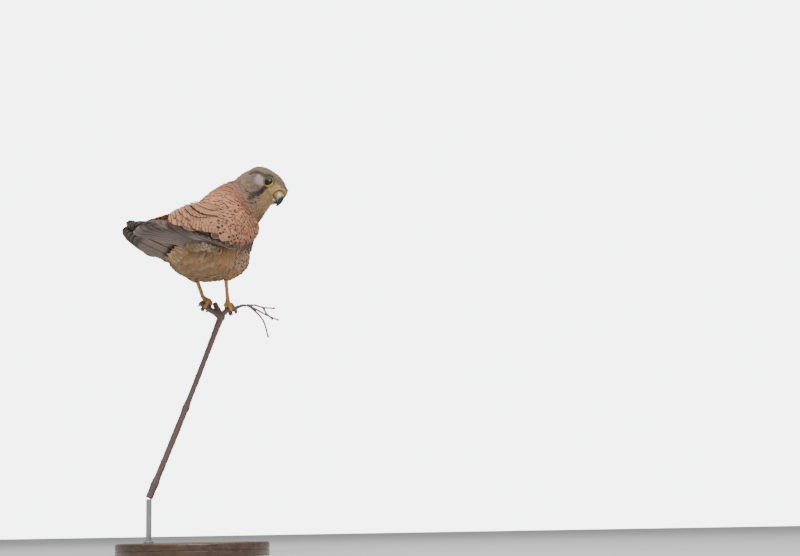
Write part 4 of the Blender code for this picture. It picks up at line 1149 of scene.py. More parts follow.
def long_feathers(coat, surface, rng, side):
    """Primaries, secondaries, tertials and scapulars of one wing."""
    def lay(kind, root, tip, half, heights, bow, shape, tint, marks, **more):
        top, low, flow = vane(surface, root, tip, half, heights, bow, shape=shape, rng=rng, **more)
        coat[kind].add(top, low, tint, marks, wing_bake(root, tip), flow)

    for i, tip in enumerate(PRIMARY_TIPS):
        root, heights = (62 + 3.2 * i, 9 + i), (-3.4 + 0.35 * i, -2.3 + 0.5 * i)
        marks = marks_row(fringe=0.35, shaft=0.35, chance=rng.random())
        lay("flight", root, tip, 7.4, heights, -2.2, LONG, varied("flight", rng, 0.05), marks, rows=18)
    for i, tip in enumerate(SECONDARY_TIPS):
        root, heights = (62 + 1.6 * i, 16 + 2.7 * i), (-1.8 + 0.2 * i, 2.4 + 0.3 * i)
        marks = marks_row(fringe=0.35, shaft=0.25, chance=rng.random())
        lay("flight", root, tip, 8.0, heights, -2.0, BROAD, varied("flight_pale", rng), marks, rows=14)
    for i, tip in enumerate(TERTIAL_TIPS):
        root, heights = (66 - 2.4 * i, 41 + 2.4 * i), (0.6 - 0.3 * i, 9.4 - 0.4 * i)
        marks = marks_row(bars=0.85, fringe=0.35, shaft=0.3, chance=rng.random())
        lay("barred", root, tip, 8.8, heights, 1.5, BROAD, varied("chestnut", rng), marks, rows=16, columns=9)
    fluffed = 1.0 if side == RIGHT else 0.6
    for i, tip in enumerate(SCAPULAR_TIPS):
        root, heights = (30 + 3 * i, 50 + 1.3 * i), (-0.6, (6.0 + 0.8 * i) * fluffed)
        marks = marks_row(spot=0.33, fringe=0.2, shaft=0.15, chance=rng.random())
        lay("coverts", root, tip, 8.2, heights, 0.5, BROAD, varied("chestnut", rng), marks, rows=14, columns=9)
    for row, (end, count) in enumerate(((72, 6), (60, 6), (48, 6), (36, 6))):
        for i in range(count):
            across = 59 - 4.6 * i - 1.3 * row
            root, tip = (end - 22, across), (end + 4 * i, across - 1)
            spot = 0.5 if rng.random() < 0.6 else 0
            marks = marks_row(spot, fringe=0.2, shaft=0.15, chance=rng.random())
            heights = (-0.5, (5.6 - row * 0.8 - 0.45 * i) * fluffed)
            lay("coverts", root, tip, 4.4, heights, 0.3, BROAD, varied("chestnut", rng), marks, rows=10)


def covert_rows(coat, surface, rng):
    """Overlapping rows of coverts, chestnut with dark drops, and dark along the wing's edge."""
    for row, (end, length, half, first, last, lift) in enumerate(COVERT_ROWS):
        count = int((last - first) / (half * 0.92)) + 1
        shift = rng.random()
        for i in range(count):
            across = first + (last - first) * (i + shift) / count + rng.normal(0, 0.5)
            lag = 10 * ((across - 28) / 26) ** 2 * (1 if across > 28 else 0.35)
            tip = (end - lag + rng.normal(0, 2.0 if end > 20 else 0.7), across)
            root = (tip[0] - length, across + 1.5 + rng.normal(0, 0.5))
            line = eased(GREY_BELOW, tip[0])[0]
            grey = float(smooth(line + 3.0, line, across))
            tint = varied("chestnut", rng, 0.09) * (1 - grey) + varied("coverts_dark", rng) * grey
            barred = float(smooth(*BARRED_BEYOND, tip[0])) * (1 - grey)
            spot = (1 - grey) * (1 - barred) * (0.6 if rng.random() < 0.62 else 0.0)
            marks = marks_row(spot, barred * 0.75, 0.08 + 0.3 * grey, 0.08 + 0.3 * grey, rng.random())
            top, low, flow = vane(
                surface, root, tip, half, (-0.2 + 0.8 * max(lift - 2, 0), lift + 0.3 * rng.random()), 0.3,
                rows=9, columns=5, shape=BROAD, camber=0.25, thick=0.14, ragged=0.05, rng=rng,
            )
            coat["coverts"].add(top, low, tint, marks, wing_bake(root, tip), flow)
    # Dark primary coverts and alula along the wing's lower edge by the wrist: their own dark colour, kept narrow so
    # that they also stand for the thin painted shadow line there.
    for i in range(7):
        root, tip = (46 + 5 * i, 3.0 + 0.5 * i), (94 + 10 * i, 2.5 + 1.6 * i)
        marks = marks_row(fringe=0.6, shaft=0.5, chance=rng.random())
        top, low, flow = vane(surface, root, tip, 3.4, (0.2, 1.4 + 0.25 * i), -0.8, rows=10, shape=LONG)
        coat["flight"].add(top, low, varied("coverts_dark", rng), marks, wing_bake(root, tip), flow)
    for i in range(2):
        root, tip = (10 + 3 * i, 0.5 + i), (52 - 8 * i, 1.2 + 1.4 * i)
        marks = marks_row(fringe=0.3, shaft=0.5, chance=rng.random())
        top, low, flow = vane(surface, root, tip, 2.2, (0.4, 2.0 + 0.3 * i), -0.6, rows=9, shape=LONG)
        coat["flight"].add(top, low, varied("coverts_dark", rng), marks, wing_bake(root, tip), flow)


def flank_wisps(surface, rng, side):
    """Pale wisps of the flank that lie over the folded wing's lower edge."""
    coat = Coat()
    for _ in range(230):
        along = rng.uniform(90, 148) if side == RIGHT else rng.uniform(45, 82)
        swell = math.exp(-(((along - (118 if side == RIGHT else 62)) / 18) ** 2))
        root = (along, rng.uniform(-7, -2) + 3 * swell)
        tip = (along + rng.uniform(7, 13), root[1] + rng.uniform(-1.5, 4.0) * swell)
        mixed = rng.random() * swell
        tint = varied("down", rng, 0.06) * mixed + varied("belly", rng, 0.06) * (1 - mixed)
        marks = marks_row(fringe=0.2, chance=rng.random())
        top, low, flow = vane(
            surface, root, tip, rng.uniform(0.7, 1.3), (-3.0, rng.uniform(-0.6, 1.3)), rng.normal(0, 0.7),
            rows=7, columns=3, shape=WISP, thick=0.10, camber=0.2,
        )
        coat.add(top, low, tint, marks, wing_bake(root, tip), flow)
    name = f"flank_{SIDE_NAMES[side]}_wisps"
    return finish_piece(coat.build(name), finish("body feathers"), "buff_feather")


def fold_wing(side):
    """One folded wing: its padded front, flight feathers, barred tertials and rows of coverts."""
    rng = np.random.default_rng(21 + side)
    surface, name = wing_surface(side), SIDE_NAMES[side]
    coat = {"flight": Coat(), "barred": Coat(), "coverts": Coat()}
    long_feathers(coat, surface, rng, side)
    covert_rows(coat, surface, rng)
    wing_skin(side, surface)
    flight = coat["flight"].build(f"wing_{name}_flight")
    finish_piece(flight, finish("flight feathers"), "flight_feather", "wing_" + name)
    finish_piece(coat["barred"].build(f"wing_{name}_tertials"), finish("barred feathers"), "chestnut_feather")
    finish_piece(coat["coverts"].build(f"wing_{name}_coverts"), finish("spotted feathers"), "chestnut_feather")
    flank_wisps(surface, rng, side)


# Tail

TAIL_PAIRS = 6
TAIL_SHORTER = (0, 0.8, 3, 7.5, 13.5, 21)
TAIL_SPREAD = {RIGHT: 1.95, LEFT: 0.7}


def fold_tail():
    """Twelve tail feathers with dark bands, and the coverts above and below their roots."""
    rng = np.random.default_rng(31)
    surface = tail_surface()
    feathers, coverts = Coat(), Coat()
    for side in (RIGHT, LEFT):
        def half(along, across, up, side=side):
            return surface(along, side * across, up)
        for k in range(TAIL_PAIRS):
            level = 0.8 if k == 0 and side == LEFT else -0.72 * k
            tip = (TAIL_LENGTH - TAIL_SHORTER[k], 2.5 + TAIL_SPREAD[side] * k)
            top, low, flow = vane(
                half, (26, 2.0 + 0.8 * k), tip, 8.0 if side == RIGHT else 7.4, (level, level), 0.8,
                rows=22, columns=9, shape=SQUARE, inner=None if k == 0 else 0.25, thick=0.3,
            )
            marks = marks_row(fringe=0.2, shaft=0.6, chance=rng.random())
            darker = (1 - 0.62 * smooth(0.80, 0.93, flow))[None, :, None, None]
            tint = np.broadcast_to(varied("tail", rng, 0.06)[:, None, None], (1, 22, 9, 3)) * darker
            feathers.add(top, low, tint, marks, wing_bake((26, 0), tip), flow)
    for row in range(12):
        along = -6 + 5.6 * row
        half_width, up, down = eased(TAIL_COVERTS, np.clip((along + 8) / 74, 0, 1))
        for below in (False, True):
            for i in range(11):
                place_ = half_width * (i - 5) / 5.4 + rng.normal(0, 0.5)
                lean = math.sqrt(max(1 - (place_ / (half_width * 1.15)) ** 2, 0.05))
                level = (-down if below else up) * lean - 2.0
                last = (-down if below else up) * 0.75 * lean - 2.0
                turned = -1 if below else 1
                root, tip = (along - 4, place_), (along + rng.uniform(11, 16), place_ * 0.9)
                top, low, flow = vane(
                    surface, root, tip, 1.7, (level - turned * 0.4, last + turned * 0.6), rng.normal(0, 0.3),
                    rows=7, columns=3, shape=WISP if below else CONTOUR, thick=0.14 * turned, camber=0.25 * turned,
                )
                tint = varied(("belly", "belly", "belly_pale")[rng.integers(3)] if below else "rump", rng)
                marks = marks_row(fringe=0.1, shaft=0.05, chance=rng.random())
                coverts.add(top, low, tint, marks, wing_bake(root, tip), flow)
    finish_piece(feathers.build("tail_feathers"), finish("tail feathers"), "flight_feather", "tail")
    finish_piece(coverts.build("tail_coverts"), finish("body feathers"), "buff_feather")
    half_width, up, down = (eased(TAIL_COVERTS, np.linspace(0, 0.8, 24)) * np.linspace(1, 0.62, 24)[:, None]).T
    turns = np.linspace(0, 2 * math.pi, 28, endpoint=False)
    rings = [
        surface(along, np.cos(turns) * w * 0.9, np.sin(turns) * np.where(np.sin(turns) > 0, u, d) * 0.85 - 2.0)
        for along, w, u, d in zip(np.linspace(-8, 50, 24), half_width, up, down)
    ]
    root = new_mesh("tail_root_skin", *lofted([rings]))
    tint = np.broadcast_to(COLOURS["belly"] * 0.7, (len(root.data.vertices), 3))
    set_attribute(root.data, "tint", "FLOAT_COLOR", np.column_stack((tint, np.ones(len(tint)))))
    finish_piece(root, finish("body skin"), "buff_feather")


# Eyes and bill

RING_OLIVE, RING_YELLOW = np.array((0.17, 0.155, 0.06)), np.array((0.70, 0.52, 0.04))


def tinted(obj, colours):
    set_attribute(obj.data, "tint", "FLOAT_COLOR", np.column_stack((colours, np.ones(len(colours)))))
    return obj


def hoop(centre, out, radius, thick, sides):
    """A closed ring round a centre, its section as thick as a row of radii says."""
    _, across, up = axes_about(out)
    count = len(thick)
    turns = np.linspace(0, 2 * math.pi, count, endpoint=False)
    around = np.linspace(0, 2 * math.pi, sides, endpoint=False)
    ways = np.outer(np.cos(turns), across) + np.outer(np.sin(turns), up)
    section = ways[:, None] * np.cos(around)[:, None] + np.asarray(out) * np.sin(around)[:, None]
    verts = centre + ways[:, None] * radius + section * np.asarray(thick)[:, None, None]
    faces = []
    for i in range(count):
        for j in range(sides):
            a, b = i * sides + j, i * sides + (j + 1) % sides
            ahead = ((i + 1) % count - i) * sides
            faces.append((a, b, b + ahead, a + ahead))
    return verts.reshape(-1, 3), faces


def shape_eyes(iris):
    for side in (RIGHT, LEFT):
        name, centre, out = SIDE_NAMES[side], eye_centre(side), eye_out(side)
        ball = new_mesh("eye_ball_" + name, *lofted([ball_rings(centre, EYE_RADIUS, out, 32, 40)]))
        points = mesh_arrays(ball)[0] - centre
        turn = np.degrees(np.arccos(np.clip(unit(points) @ out, -1, 1)))
        ring = smooth(19, 23, turn) * (1 - smooth(44, 54, turn))
        tinted(ball, np.array((0.004, 0.004, 0.006)) + ring[:, None] * np.array(iris))
        finish_piece(ball, finish("eye"), "eye", "eye_" + name)
        ring_centre = centre + out * LID_REACH
        swell = 1 + 0.05 * np.cos(np.linspace(0, 2 * math.pi, 72, endpoint=False) * 18)
        verts, faces = [], []
        for radius, lift, thick in ((4.95, 0.55, 0.42), (5.55, 0.15, 0.50)):
            points, quads = hoop(ring_centre + out * lift, out, radius, thick * swell, 10)
            faces += [tuple(i + 720 * len(verts) for i in quad) for quad in quads]
            verts.append(points)
        ring = new_mesh("eye_ring_" + name, np.concatenate(verts), faces)
        points = mesh_arrays(ring)[0] - ring_centre
        ahead = smooth(2.2, 5.4, points @ unit(HEAD_FORWARD * 0.75 - HEAD_UP * 0.45))[:, None]
        tinted(ring, RING_OLIVE * (1 - ahead) + RING_YELLOW * ahead)
        finish_piece(ring, finish("eye ring"), "yellow_skin")


def bill_rings(stations, start, end, count, sides, hook=False):
    """Fine rings of a bill half, its section flatter below than above."""
    rows = [(i, *row) for i, row in enumerate(stations)]
    places = np.linspace(start, end, count)
    rings = []
    for t in places:
        forward, up, half_width, half_height = eased(rows, t)
        ahead = eased(rows, min(t + 0.1, len(rows) - 1)) - eased(rows, max(t - 0.1, 0))
        lean = math.atan2(ahead[1], ahead[0])
        a = np.linspace(0, 2 * math.pi, sides, endpoint=False)
        rise = np.sin(a) * half_height
        if hook:
            tooth = 0.55 * math.exp(-((t - 3.0) / 0.22) ** 2)
            rise = np.where(np.sin(a) < 0, rise * 0.94 - tooth * np.exp(-((np.sin(a) + 0.55) / 0.3) ** 2), rise)
        width = np.cos(a) * half_width * (1 - 0.10 * np.maximum(np.sin(a), 0) ** 2)
        rings.append(np.array([
            head_point(forward - math.sin(lean) * r, w, up + math.cos(lean) * r) for r, w in zip(rise, width)
        ]))
    return rings


def shape_bill():
    cere = new_mesh("cere_skin", *lofted([bill_rings(CERE, 0.0, 4.0, 26, 40)]))
    finish_piece(cere, finish("cere"), "yellow_skin", "cere")
    upper = new_mesh("bill_upper_horn", *lofted([bill_rings(UPPER_BILL, 1.6, 6.0, 44, 40, True)]))
    lower = new_mesh("bill_lower_horn", *lofted([bill_rings(LOWER_BILL, 0.1, 3.0, 24, 32)]))
    pale, dark = np.array((0.42, 0.43, 0.44)), np.array((0.022, 0.026, 0.036))
    for obj, node, start, span in ((upper, "bill_upper", 25.0, 4.0), (lower, "bill_lower", 20.0, 6.0)):
        f, _, u = ((mesh_arrays(obj)[0] - HEAD_CENTRE) @ HEAD_FRAME).T
        reach = np.maximum((f - start) / span, (-4.6 - u) / 7.0 if node == "bill_upper" else 0)
        dark_share = smooth(0.15, 0.8, reach)[:, None]
        tinted(obj, pale * (1 - dark_share) + dark * dark_share)
        finish_piece(obj, finish("bill horn"), "blue_horn", node)
    for side in (RIGHT, LEFT):
        f, out, up = NOSTRIL
        place_ = head_point(f - 0.1, -side * (out + 0.15), up)
        # The nostril's opening is a small near-black bead: painted shade of the hole.
        rings = ball_rings(place_, 0.62, HEAD_RIGHT * -side, 8, 14, 0.6)
        painted_shade_pit = new_mesh("nostril_" + SIDE_NAMES[side], *lofted([rings]))
        tinted(painted_shade_pit, np.broadcast_to((0.02, 0.01, 0.008), (len(painted_shade_pit.data.vertices), 3)))
        finish_piece(painted_shade_pit, finish("bill horn"), "blue_horn")
        rim = hoop(place_ + HEAD_RIGHT * -side * 0.08, HEAD_RIGHT * -side, 0.80, np.full(36, 0.24), 8)
        finish_piece(new_mesh("nostril_rim_" + SIDE_NAMES[side], *rim), finish("cere"), "yellow_skin")
        line = smoothed([
            head_point(20.5, -side * 5.0, -7.0), head_point(16.5, -side * 7.6, -7.3),
            head_point(12.5, -side * 11.6, -6.9),
        ], 14)
        radii = np.linspace(0.55, 0.28, 14)
        lip = new_mesh("gape_" + SIDE_NAMES[side], *lofted([tube_rings(line, radii, 10)]))
        finish_piece(lip, finish("cere"), "yellow_skin")


# Feet

def bar_axes(side):
    along = unit(BARS[side][1])
    up = unit(UP - along * along[2])
    ahead = np.cross(along, up)
    return along, up, (-ahead if ahead[1] > 0 else ahead)


def toe_line(side, toe, count=7):
    middle, _, radius = BARS[side]
    along, up, ahead = bar_axes(side)
    root, end, wrap, _, thick = TOES[side][toe]
    t = np.linspace(0, 1, count)
    angle = np.radians(wrap * t)[:, None]
    reach = radius + thick + TOE_CLEAR + TOE_ARCH * np.sin(np.minimum(t * 1.6, 1) * math.pi)
    shift = root + (end - root) * np.minimum(t * 1.25, 1)
    way = up * np.cos(angle) + ahead * np.sin(angle)
    return middle + along * shift[:, None] + way * reach[:, None], way


def repeat_tree():
    """Geometry nodes that set a flattened plate on every point, turned by the point's own ways."""
    name = "set plates"
    if name in bpy.data.node_groups:
        return bpy.data.node_groups[name]
    tree = bpy.data.node_groups.new(name, "GeometryNodeTree")
    tree.interface.new_socket("Geometry", in_out="INPUT", socket_type="NodeSocketGeometry")
    for label, default in (("Length", 0.001), ("Width", 0.001), ("Thickness", 0.0004)):
        tree.interface.new_socket(label, in_out="INPUT", socket_type="NodeSocketFloat").default_value = default
    tree.interface.new_socket("Material", in_out="INPUT", socket_type="NodeSocketMaterial")
    tree.interface.new_socket("Geometry", in_out="OUTPUT", socket_type="NodeSocketGeometry")
    nodes = Nodes(tree)
    given, out = nodes.add("NodeGroupInput").outputs, nodes.add("NodeGroupOutput").inputs
    ball = nodes.add("GeometryNodeMeshUVSphere")
    ball.inputs["Segments"].default_value = 10
    ball.inputs["Rings"].default_value = 6
    ball.inputs["Radius"].default_value = 1.0
    turned = None
    for label, axis, pivot in (("out", "Z", "AUTO"), ("ahead", "X", "Z")):
        way = nodes.add("GeometryNodeInputNamedAttribute", data_type="FLOAT_VECTOR")
        way.inputs["Name"].default_value = label
        turn = nodes.add("FunctionNodeAlignRotationToVector", axis=axis, pivot_axis=pivot)
        nodes.feed(turn.inputs["Vector"], way.outputs[0])
        if turned:
            nodes.feed(turn.inputs["Rotation"], turned)
        turned = turn.outputs[0]
    size = nodes.add("GeometryNodeInputNamedAttribute", data_type="FLOAT")
    size.inputs["Name"].default_value = "size"
    scale = nodes.add("ShaderNodeCombineXYZ")
    for socket, label in zip(scale.inputs, ("Length", "Width", "Thickness")):
        nodes.feed(socket, nodes.math("MULTIPLY", given[label], size.outputs[0]))
    spread_ = nodes.add("GeometryNodeInstanceOnPoints")
    nodes.feed(spread_.inputs["Points"], given["Geometry"])
    nodes.feed(spread_.inputs["Instance"], ball.outputs["Mesh"])
    nodes.feed(spread_.inputs["Rotation"], turned)
    nodes.feed(spread_.inputs["Scale"], scale.outputs[0])
    real = nodes.add("GeometryNodeRealizeInstances")
    nodes.feed(real.inputs[0], spread_.outputs[0])
    dress = nodes.add("GeometryNodeSetMaterial")
    nodes.feed(dress.inputs["Geometry"], real.outputs[0])
    nodes.feed(dress.inputs["Material"], given["Material"])
    nodes.feed(out[0], dress.outputs[0])
    return tree


def plates(name, points, out, ahead, sizes, length, width, thickness, mat, slot):
    """Plates on points in millimetres from the grip, made by geometry nodes into a plain mesh."""
    mesh = bpy.data.meshes.new(name)
    mesh.from_pydata(((np.asarray(points) + GRIP) * MM).tolist(), [], [])
    for label, values in (("out", out), ("ahead", ahead)):
        attribute = mesh.attributes.new(label, "FLOAT_VECTOR", "POINT")
        attribute.data.foreach_set("vector", np.asarray(values, np.float32).ravel())
    set_attribute(mesh, "size", "FLOAT", sizes)
    obj = bpy.data.objects.new(name, mesh)
    bpy.context.scene.collection.objects.link(obj)
    tree = repeat_tree()
    modifier = obj.modifiers.new("plates", "NODES")
    modifier.node_group = tree
    values = {"Length": length * MM, "Width": width * MM, "Thickness": thickness * MM, "Material": mat}
    for item in tree.interface.items_tree:
        if item.in_out == "INPUT" and item.name in values:
            modifier[item.identifier] = values[item.name]
    evaluated(obj)
    if not obj.data.polygons:
        raise RuntimeError(name + " has no faces")
    obj.data.shade_smooth()
    return finish_piece(obj, mat, slot)


def shape_foot(side):
    """Toes, pads and bare leg in one skin, with plates over them and a curved claw on each toe."""
    name = SIDE_NAMES[side]
    middle, _, radius = BARS[side]
    along, up, _ = bar_axes(side)
    pad = middle + up * (radius + 2.9)
    top, ankle = np.array(TARSUS_TOP[side], float), np.array(ANKLE[side], float)
    leg = np.concatenate((smoothed([pad, pad * 0.4 + ankle * 0.6, ankle], 10)[:-1],
                          smoothed([ankle, ankle * 0.5 + top * 0.5, top], 24)))
    share = np.linspace(0, 1, len(leg))
    leg_radii = eased(((0, 2.9), (0.12, 2.7), (0.3, 2.3), (0.6, 1.9), (0.85, 2.05), (1, 2.35)), share)[:, 0]
    sets = [ball_rings(pad, 2.9, along, 14, 20, 1.3), tube_rings(leg, leg_radii, 18)]
    spots, outs, aheads, sizes = [], [], [], []
    for toe, (_, _, _, length, thick) in TOES[side].items():
        line, way = toe_line(side, toe, 40)
        t = np.linspace(0, 1, 40)
        radii = thick * (1.12 - 0.22 * t + 0.09 * np.sin(t * 3 * math.pi))
        sets.append(tube_rings(line, radii, 16))
        ahead = unit(np.gradient(line, axis=0))
        for share_ in (0.36, 0.66, 0.94):
            k = int(share_ * 39)
            sets.append(ball_rings(line[k] - way[k] * radii[k] * 0.45, radii[k] * 0.8, along, 8, 12, 1.1))
        count = 9 if toe == "middle" else 7
        for k in np.linspace(8, 38, count).astype(int):
            spots.append(line[k] + way[k] * radii[k] * 0.62)
            outs.append(way[k])
            aheads.append(ahead[k])
            sizes.append(radii[k] / 2.0)
        curl = [line[-1] - ahead[-1] * 1.2]
        heading = ahead[-1]
        inward = unit(middle + along * ((line[-1] - middle) @ along) - line[-1])
        for _ in range(20):
            curl.append(curl[-1] + heading * (length + 1.4) / 20)
            heading = unit(heading + inward * CLAW_CURL / 5.2)
        fade = np.linspace(0, 1, 21)
        claw = new_mesh(f"claw_{name}_{toe}_horn", *lofted([
            tube_rings(curl, thick * 0.58 * (1 - fade) ** 0.75 + 0.10, 16)
        ]))
        tone = np.repeat(fade, 16)
        tone = np.concatenate((tone, (0, 1)))[:, None]
        tinted(claw, np.array((0.050, 0.040, 0.042)) * (1 - tone) + np.array((0.012, 0.012, 0.015)) * tone)
        finish_piece(claw, finish("claw horn"), "dark_horn", f"claw_{name}_{toe}")
    front = unit(np.cross(unit(top - ankle), along))
    front = front if front[1] < 0 else -front
    for facing in (front, -front):
        for share_ in np.linspace(0.06, 0.94, 11):
            centre = ankle + (top - ankle) * share_
            spots.append(centre + facing * 1.55)
            outs.append(facing)
            aheads.append(unit(ankle - top))
            sizes.append(1.0)
    foot = new_mesh(f"foot_{name}_skin", *lofted(sets))
    remeshed(foot, 0.42, 5)
    finish_piece(foot, finish("foot skin"), "yellow_skin", "foot_" + name, "tarsus_" + name)
    plates(
        f"foot_{name}_plates", spots, outs, aheads, sizes, 1.15, 1.55, 0.95, finish("foot plates"), "yellow_skin",
    )


# Perch

def stem_radius(t):
    radius = STEM_RADIUS + 0.6 * np.exp(-((t / 0.1) ** 2))
    for scar in SCARS:
        radius = radius + SCAR_HEIGHT * np.exp(-(((t - scar) / SCAR_SPREAD) ** 2))
        radius = radius + SCAR_STEP * smooth(scar, scar + 0.01, t)
    return radius


def roughened(obj, depth, scale, seed):
    """Uneven bark: lengthwise ridges and soft swellings."""
    points, normals, _ = mesh_arrays(obj)
    rng = np.random.default_rng(seed)
    total = np.zeros(len(points))
    for k in range(9):
        way = rng.normal(0, 1, 3) * np.array((1, 1, 0.35)) * scale * 1.35**k
        total += np.sin(points @ way + rng.uniform(0, 6.28)) / 1.25**k
    move_points(obj, points + normals * (total * depth / 3)[:, None])
    return obj


def shape_perch():
    """The cut branch tip that both feet grip, and its fine side twig with dead stalks."""
    rng = np.random.default_rng(41)
    t = np.linspace(0, 1, 160)
    line = FORK + (STEM_FOOT - FORK) * t[:, None] + np.array((-1.2, 0, 0)) * np.sin(t * math.pi)[:, None]
    stub = FORK + (STUB_END - FORK) * np.linspace(0, 1, 24)[:, None]
    snag = FORK + (SNAG_END - FORK) * np.linspace(0, 1, 20)[:, None]
    stem = new_mesh("perch_stem_bark", *lofted([
        tube_rings(line, stem_radius(t), 30), ball_rings(FORK, 4.4, (0.2, 0, 1), 20, 28, 1.15),
        tube_rings(stub, eased(((0, 3.7), (0.3, 3.1), (0.7, 3.1), (1, 2.7)), np.linspace(0, 1, 24))[:, 0], 26),
        tube_rings(snag, np.linspace(3.6, 2.6, 20), 26),
    ]))
    remeshed(stem, 0.55, 3)
    roughened(stem, 0.22, 0.55, 42)
    points = mesh_arrays(stem)[0]
    along = ((points - FORK) @ (STEM_FOOT - FORK)) / ((STEM_FOOT - FORK) @ (STEM_FOOT - FORK))
    tone = np.zeros(len(points))
    for scar in SCARS:
        tone = np.maximum(tone, np.exp(-(((along - scar) / 0.012) ** 2)))
    bark, dark, olive = np.array(((0.165, 0.118, 0.126), (0.050, 0.035, 0.034), (0.18, 0.15, 0.095)))
    tip = smooth(0.02, -0.05, along)[:, None]
    tinted(stem, (bark * (1 - tip) + olive * tip) * (1 - 0.7 * tone[:, None]) + dark * 0.7 * tone[:, None])
    finish_piece(stem, finish("bark"), "bark", "perch_stem")

    sets = [tube_rings(smoothed(TWIG_LINE, 50), eased(
        ((0, 3.0), (0.2, 2.6), (0.4, 2.4), (0.6, 1.8), (0.8, 1.4), (1, 1.2)), np.linspace(0, 1, 50),
    )[:, 0], 20)]
    for knot, radius in (((-33, -8.5, -3.4), 1.7), ((-47, -15, -5.6), 1.15)):
        sets.append(ball_rings(np.array(knot), radius, (1, 0.3, 0.1), 12, 16))
    for stalk in STALKS:
        path = smoothed(stalk, 26)
        radii = STALK_RADIUS * np.linspace(1.45, 1.15, 26)
        sets.append(tube_rings(path, radii, 12))
        sets.append(ball_rings(path[-1], STALK_RADIUS * 1.5, path[-1] - path[-3], 10, 12, 1.7))
        for k in (8, 16):
            sets.append(ball_rings(path[k] + rng.normal(0, 0.15, 3), STALK_RADIUS * 1.35, path[k + 1] - path[k], 8, 10))
    twig = new_mesh("perch_twig_bark", *lofted(sets))
    remeshed(twig, 0.4, 2)
    roughened(twig, 0.14, 0.9, 43)
    points = mesh_arrays(twig)[0]
    far = smooth(-12, -34, points[:, 0])[:, None]
    tinted(twig, bark * 0.85 * (1 - far) + np.array((0.045, 0.030, 0.032)) * far)
    finish_piece(twig, finish("bark"), "bark", "perch_twig")

    spots, outs, aheads, sizes = [], [], [], []
    way, across, up = axes_about(STEM_FOOT - FORK)
    for _ in range(90):
        share, angle = rng.uniform(0.07, 0.98), rng.uniform(0, 2 * math.pi)
        facing = across * math.cos(angle) + up * math.sin(angle)
        centre = FORK + (STEM_FOOT - FORK) * share + np.array((-1.2, 0, 0)) * math.sin(share * math.pi)
        spots.append(centre + facing * (float(stem_radius(np.array(share))) - 0.02))
        outs.append(facing)
        aheads.append(way)
        sizes.append(rng.uniform(0.6, 1.3))
    plates("perch_lenticels", spots, outs, aheads, sizes, 0.5, 0.26, 0.14, finish("lenticels"), "bark")


# Stand

BASE_RADIUS, BASE_THICKNESS, ROD_RADIUS = 78.0, 14.0, 2.8


def shape_stand():
    """A turned wooden disc with an eased edge and a bead, and a steel rod with its collar."""
    profile = [(BASE_RADIUS - 1.2, 0.0), (BASE_RADIUS - 0.3, 0.3), (BASE_RADIUS, 1.2), (BASE_RADIUS, 6.0)]
    profile += [(BASE_RADIUS - 0.5, 6.6), (BASE_RADIUS - 0.5, 7.0), (BASE_RADIUS, 7.6), (BASE_RADIUS, 11.5)]
    for a in np.linspace(0, math.pi / 2, 9)[1:]:
        profile.append((BASE_RADIUS - 2.5 + 2.5 * math.cos(a), 11.5 + 2.5 * math.sin(a)))
    profile += [(BASE_RADIUS - 9, 14.0), (BASE_RADIUS - 9.4, 13.6), (BASE_RADIUS - 10.0, 13.6), (BASE_RADIUS - 10.4, 14.0)]
    profile += [(40, 14.0), (12, 14.0)]
    turns = np.linspace(0, 2 * math.pi, 160, endpoint=False)
    rings = [
        np.stack((radius * np.cos(turns), radius * np.sin(turns), np.full(160, height)), 1) - GRIP
        for radius, height in profile
    ]
    base = new_mesh("stand_base_disc", *lofted([rings]))
    base.data.set_sharp_from_angle(angle=math.radians(35))
    finish_piece(base, finish("walnut"), "stand_wood", "stand_base")
    bottom, top = BASE_THICKNESS - GRIP[2], STEM_FOOT[2] - 1.0
    rows = [(0, 5.2), (1.6, 5.2), (2.4, 4.4), (2.6, ROD_RADIUS)]
    rows += [(h, ROD_RADIUS) for h in np.linspace(4, top - bottom, 12)]
    rings = [
        np.stack((radius * np.cos(turns[::4]), radius * np.sin(turns[::4]), np.full(40, bottom + h)), 1)
        + np.array((STEM_FOOT[0], STEM_FOOT[1], 0))
        for h, radius in rows
    ]
    rod = new_mesh("stand_rod_steel", *lofted([rings]))
    rod.data.set_sharp_from_angle(angle=math.radians(35))
    finish_piece(rod, finish("brushed steel"), "stand_steel", "stand_rod")


# Floor, light and camera

HEADING, LOOK_UP = math.radians(24), math.radians(8.5)
CAMERA_DISTANCE, FOCAL_PIXELS, FRAME_WIDTH, FRAME_HEIGHT = 1.6, 1509.0, 800, 556
GRIP_PIXEL = (216, 303)
# How strong the sky is where the camera sees it, and as a light
SKY_SEEN, SKY_LIGHT = 5.8, 0.43


def photo_camera():
    """The camera at the photograph's viewing angle, with the grip on its own pixel."""
    away = Vector((
        math.sin(HEADING) * math.cos(LOOK_UP), -math.cos(HEADING) * math.cos(LOOK_UP), math.sin(LOOK_UP),
    ))
    right = Vector((-math.cos(HEADING), -math.sin(HEADING), 0))
    up = right.cross(away)
    spot = Vector((GRIP * MM).tolist()) - away * CAMERA_DISTANCE
    turn = Matrix.Rotation(-math.atan((FRAME_WIDTH / 2 - GRIP_PIXEL[0]) / FOCAL_PIXELS), 3, up)
    away, right = turn @ away, turn @ right
    away = Matrix.Rotation(math.atan((GRIP_PIXEL[1] - FRAME_HEIGHT / 2) / FOCAL_PIXELS), 3, right) @ away
    up = right.cross(away)
    data = bpy.data.cameras.new("photo camera")
    data.sensor_width = 36
    data.lens = 36 * FOCAL_PIXELS / FRAME_WIDTH
    data.clip_start = 0.01
    camera = bpy.data.objects.new("photo camera", data)
    bpy.context.scene.collection.objects.link(camera)
    camera.matrix_world = Matrix((
        (right.x, up.x, -away.x, spot.x), (right.y, up.y, -away.y, spot.y),
        (right.z, up.z, -away.z, spot.z), (0, 0, 0, 1),
    ))
    bpy.context.scene.camera = camera


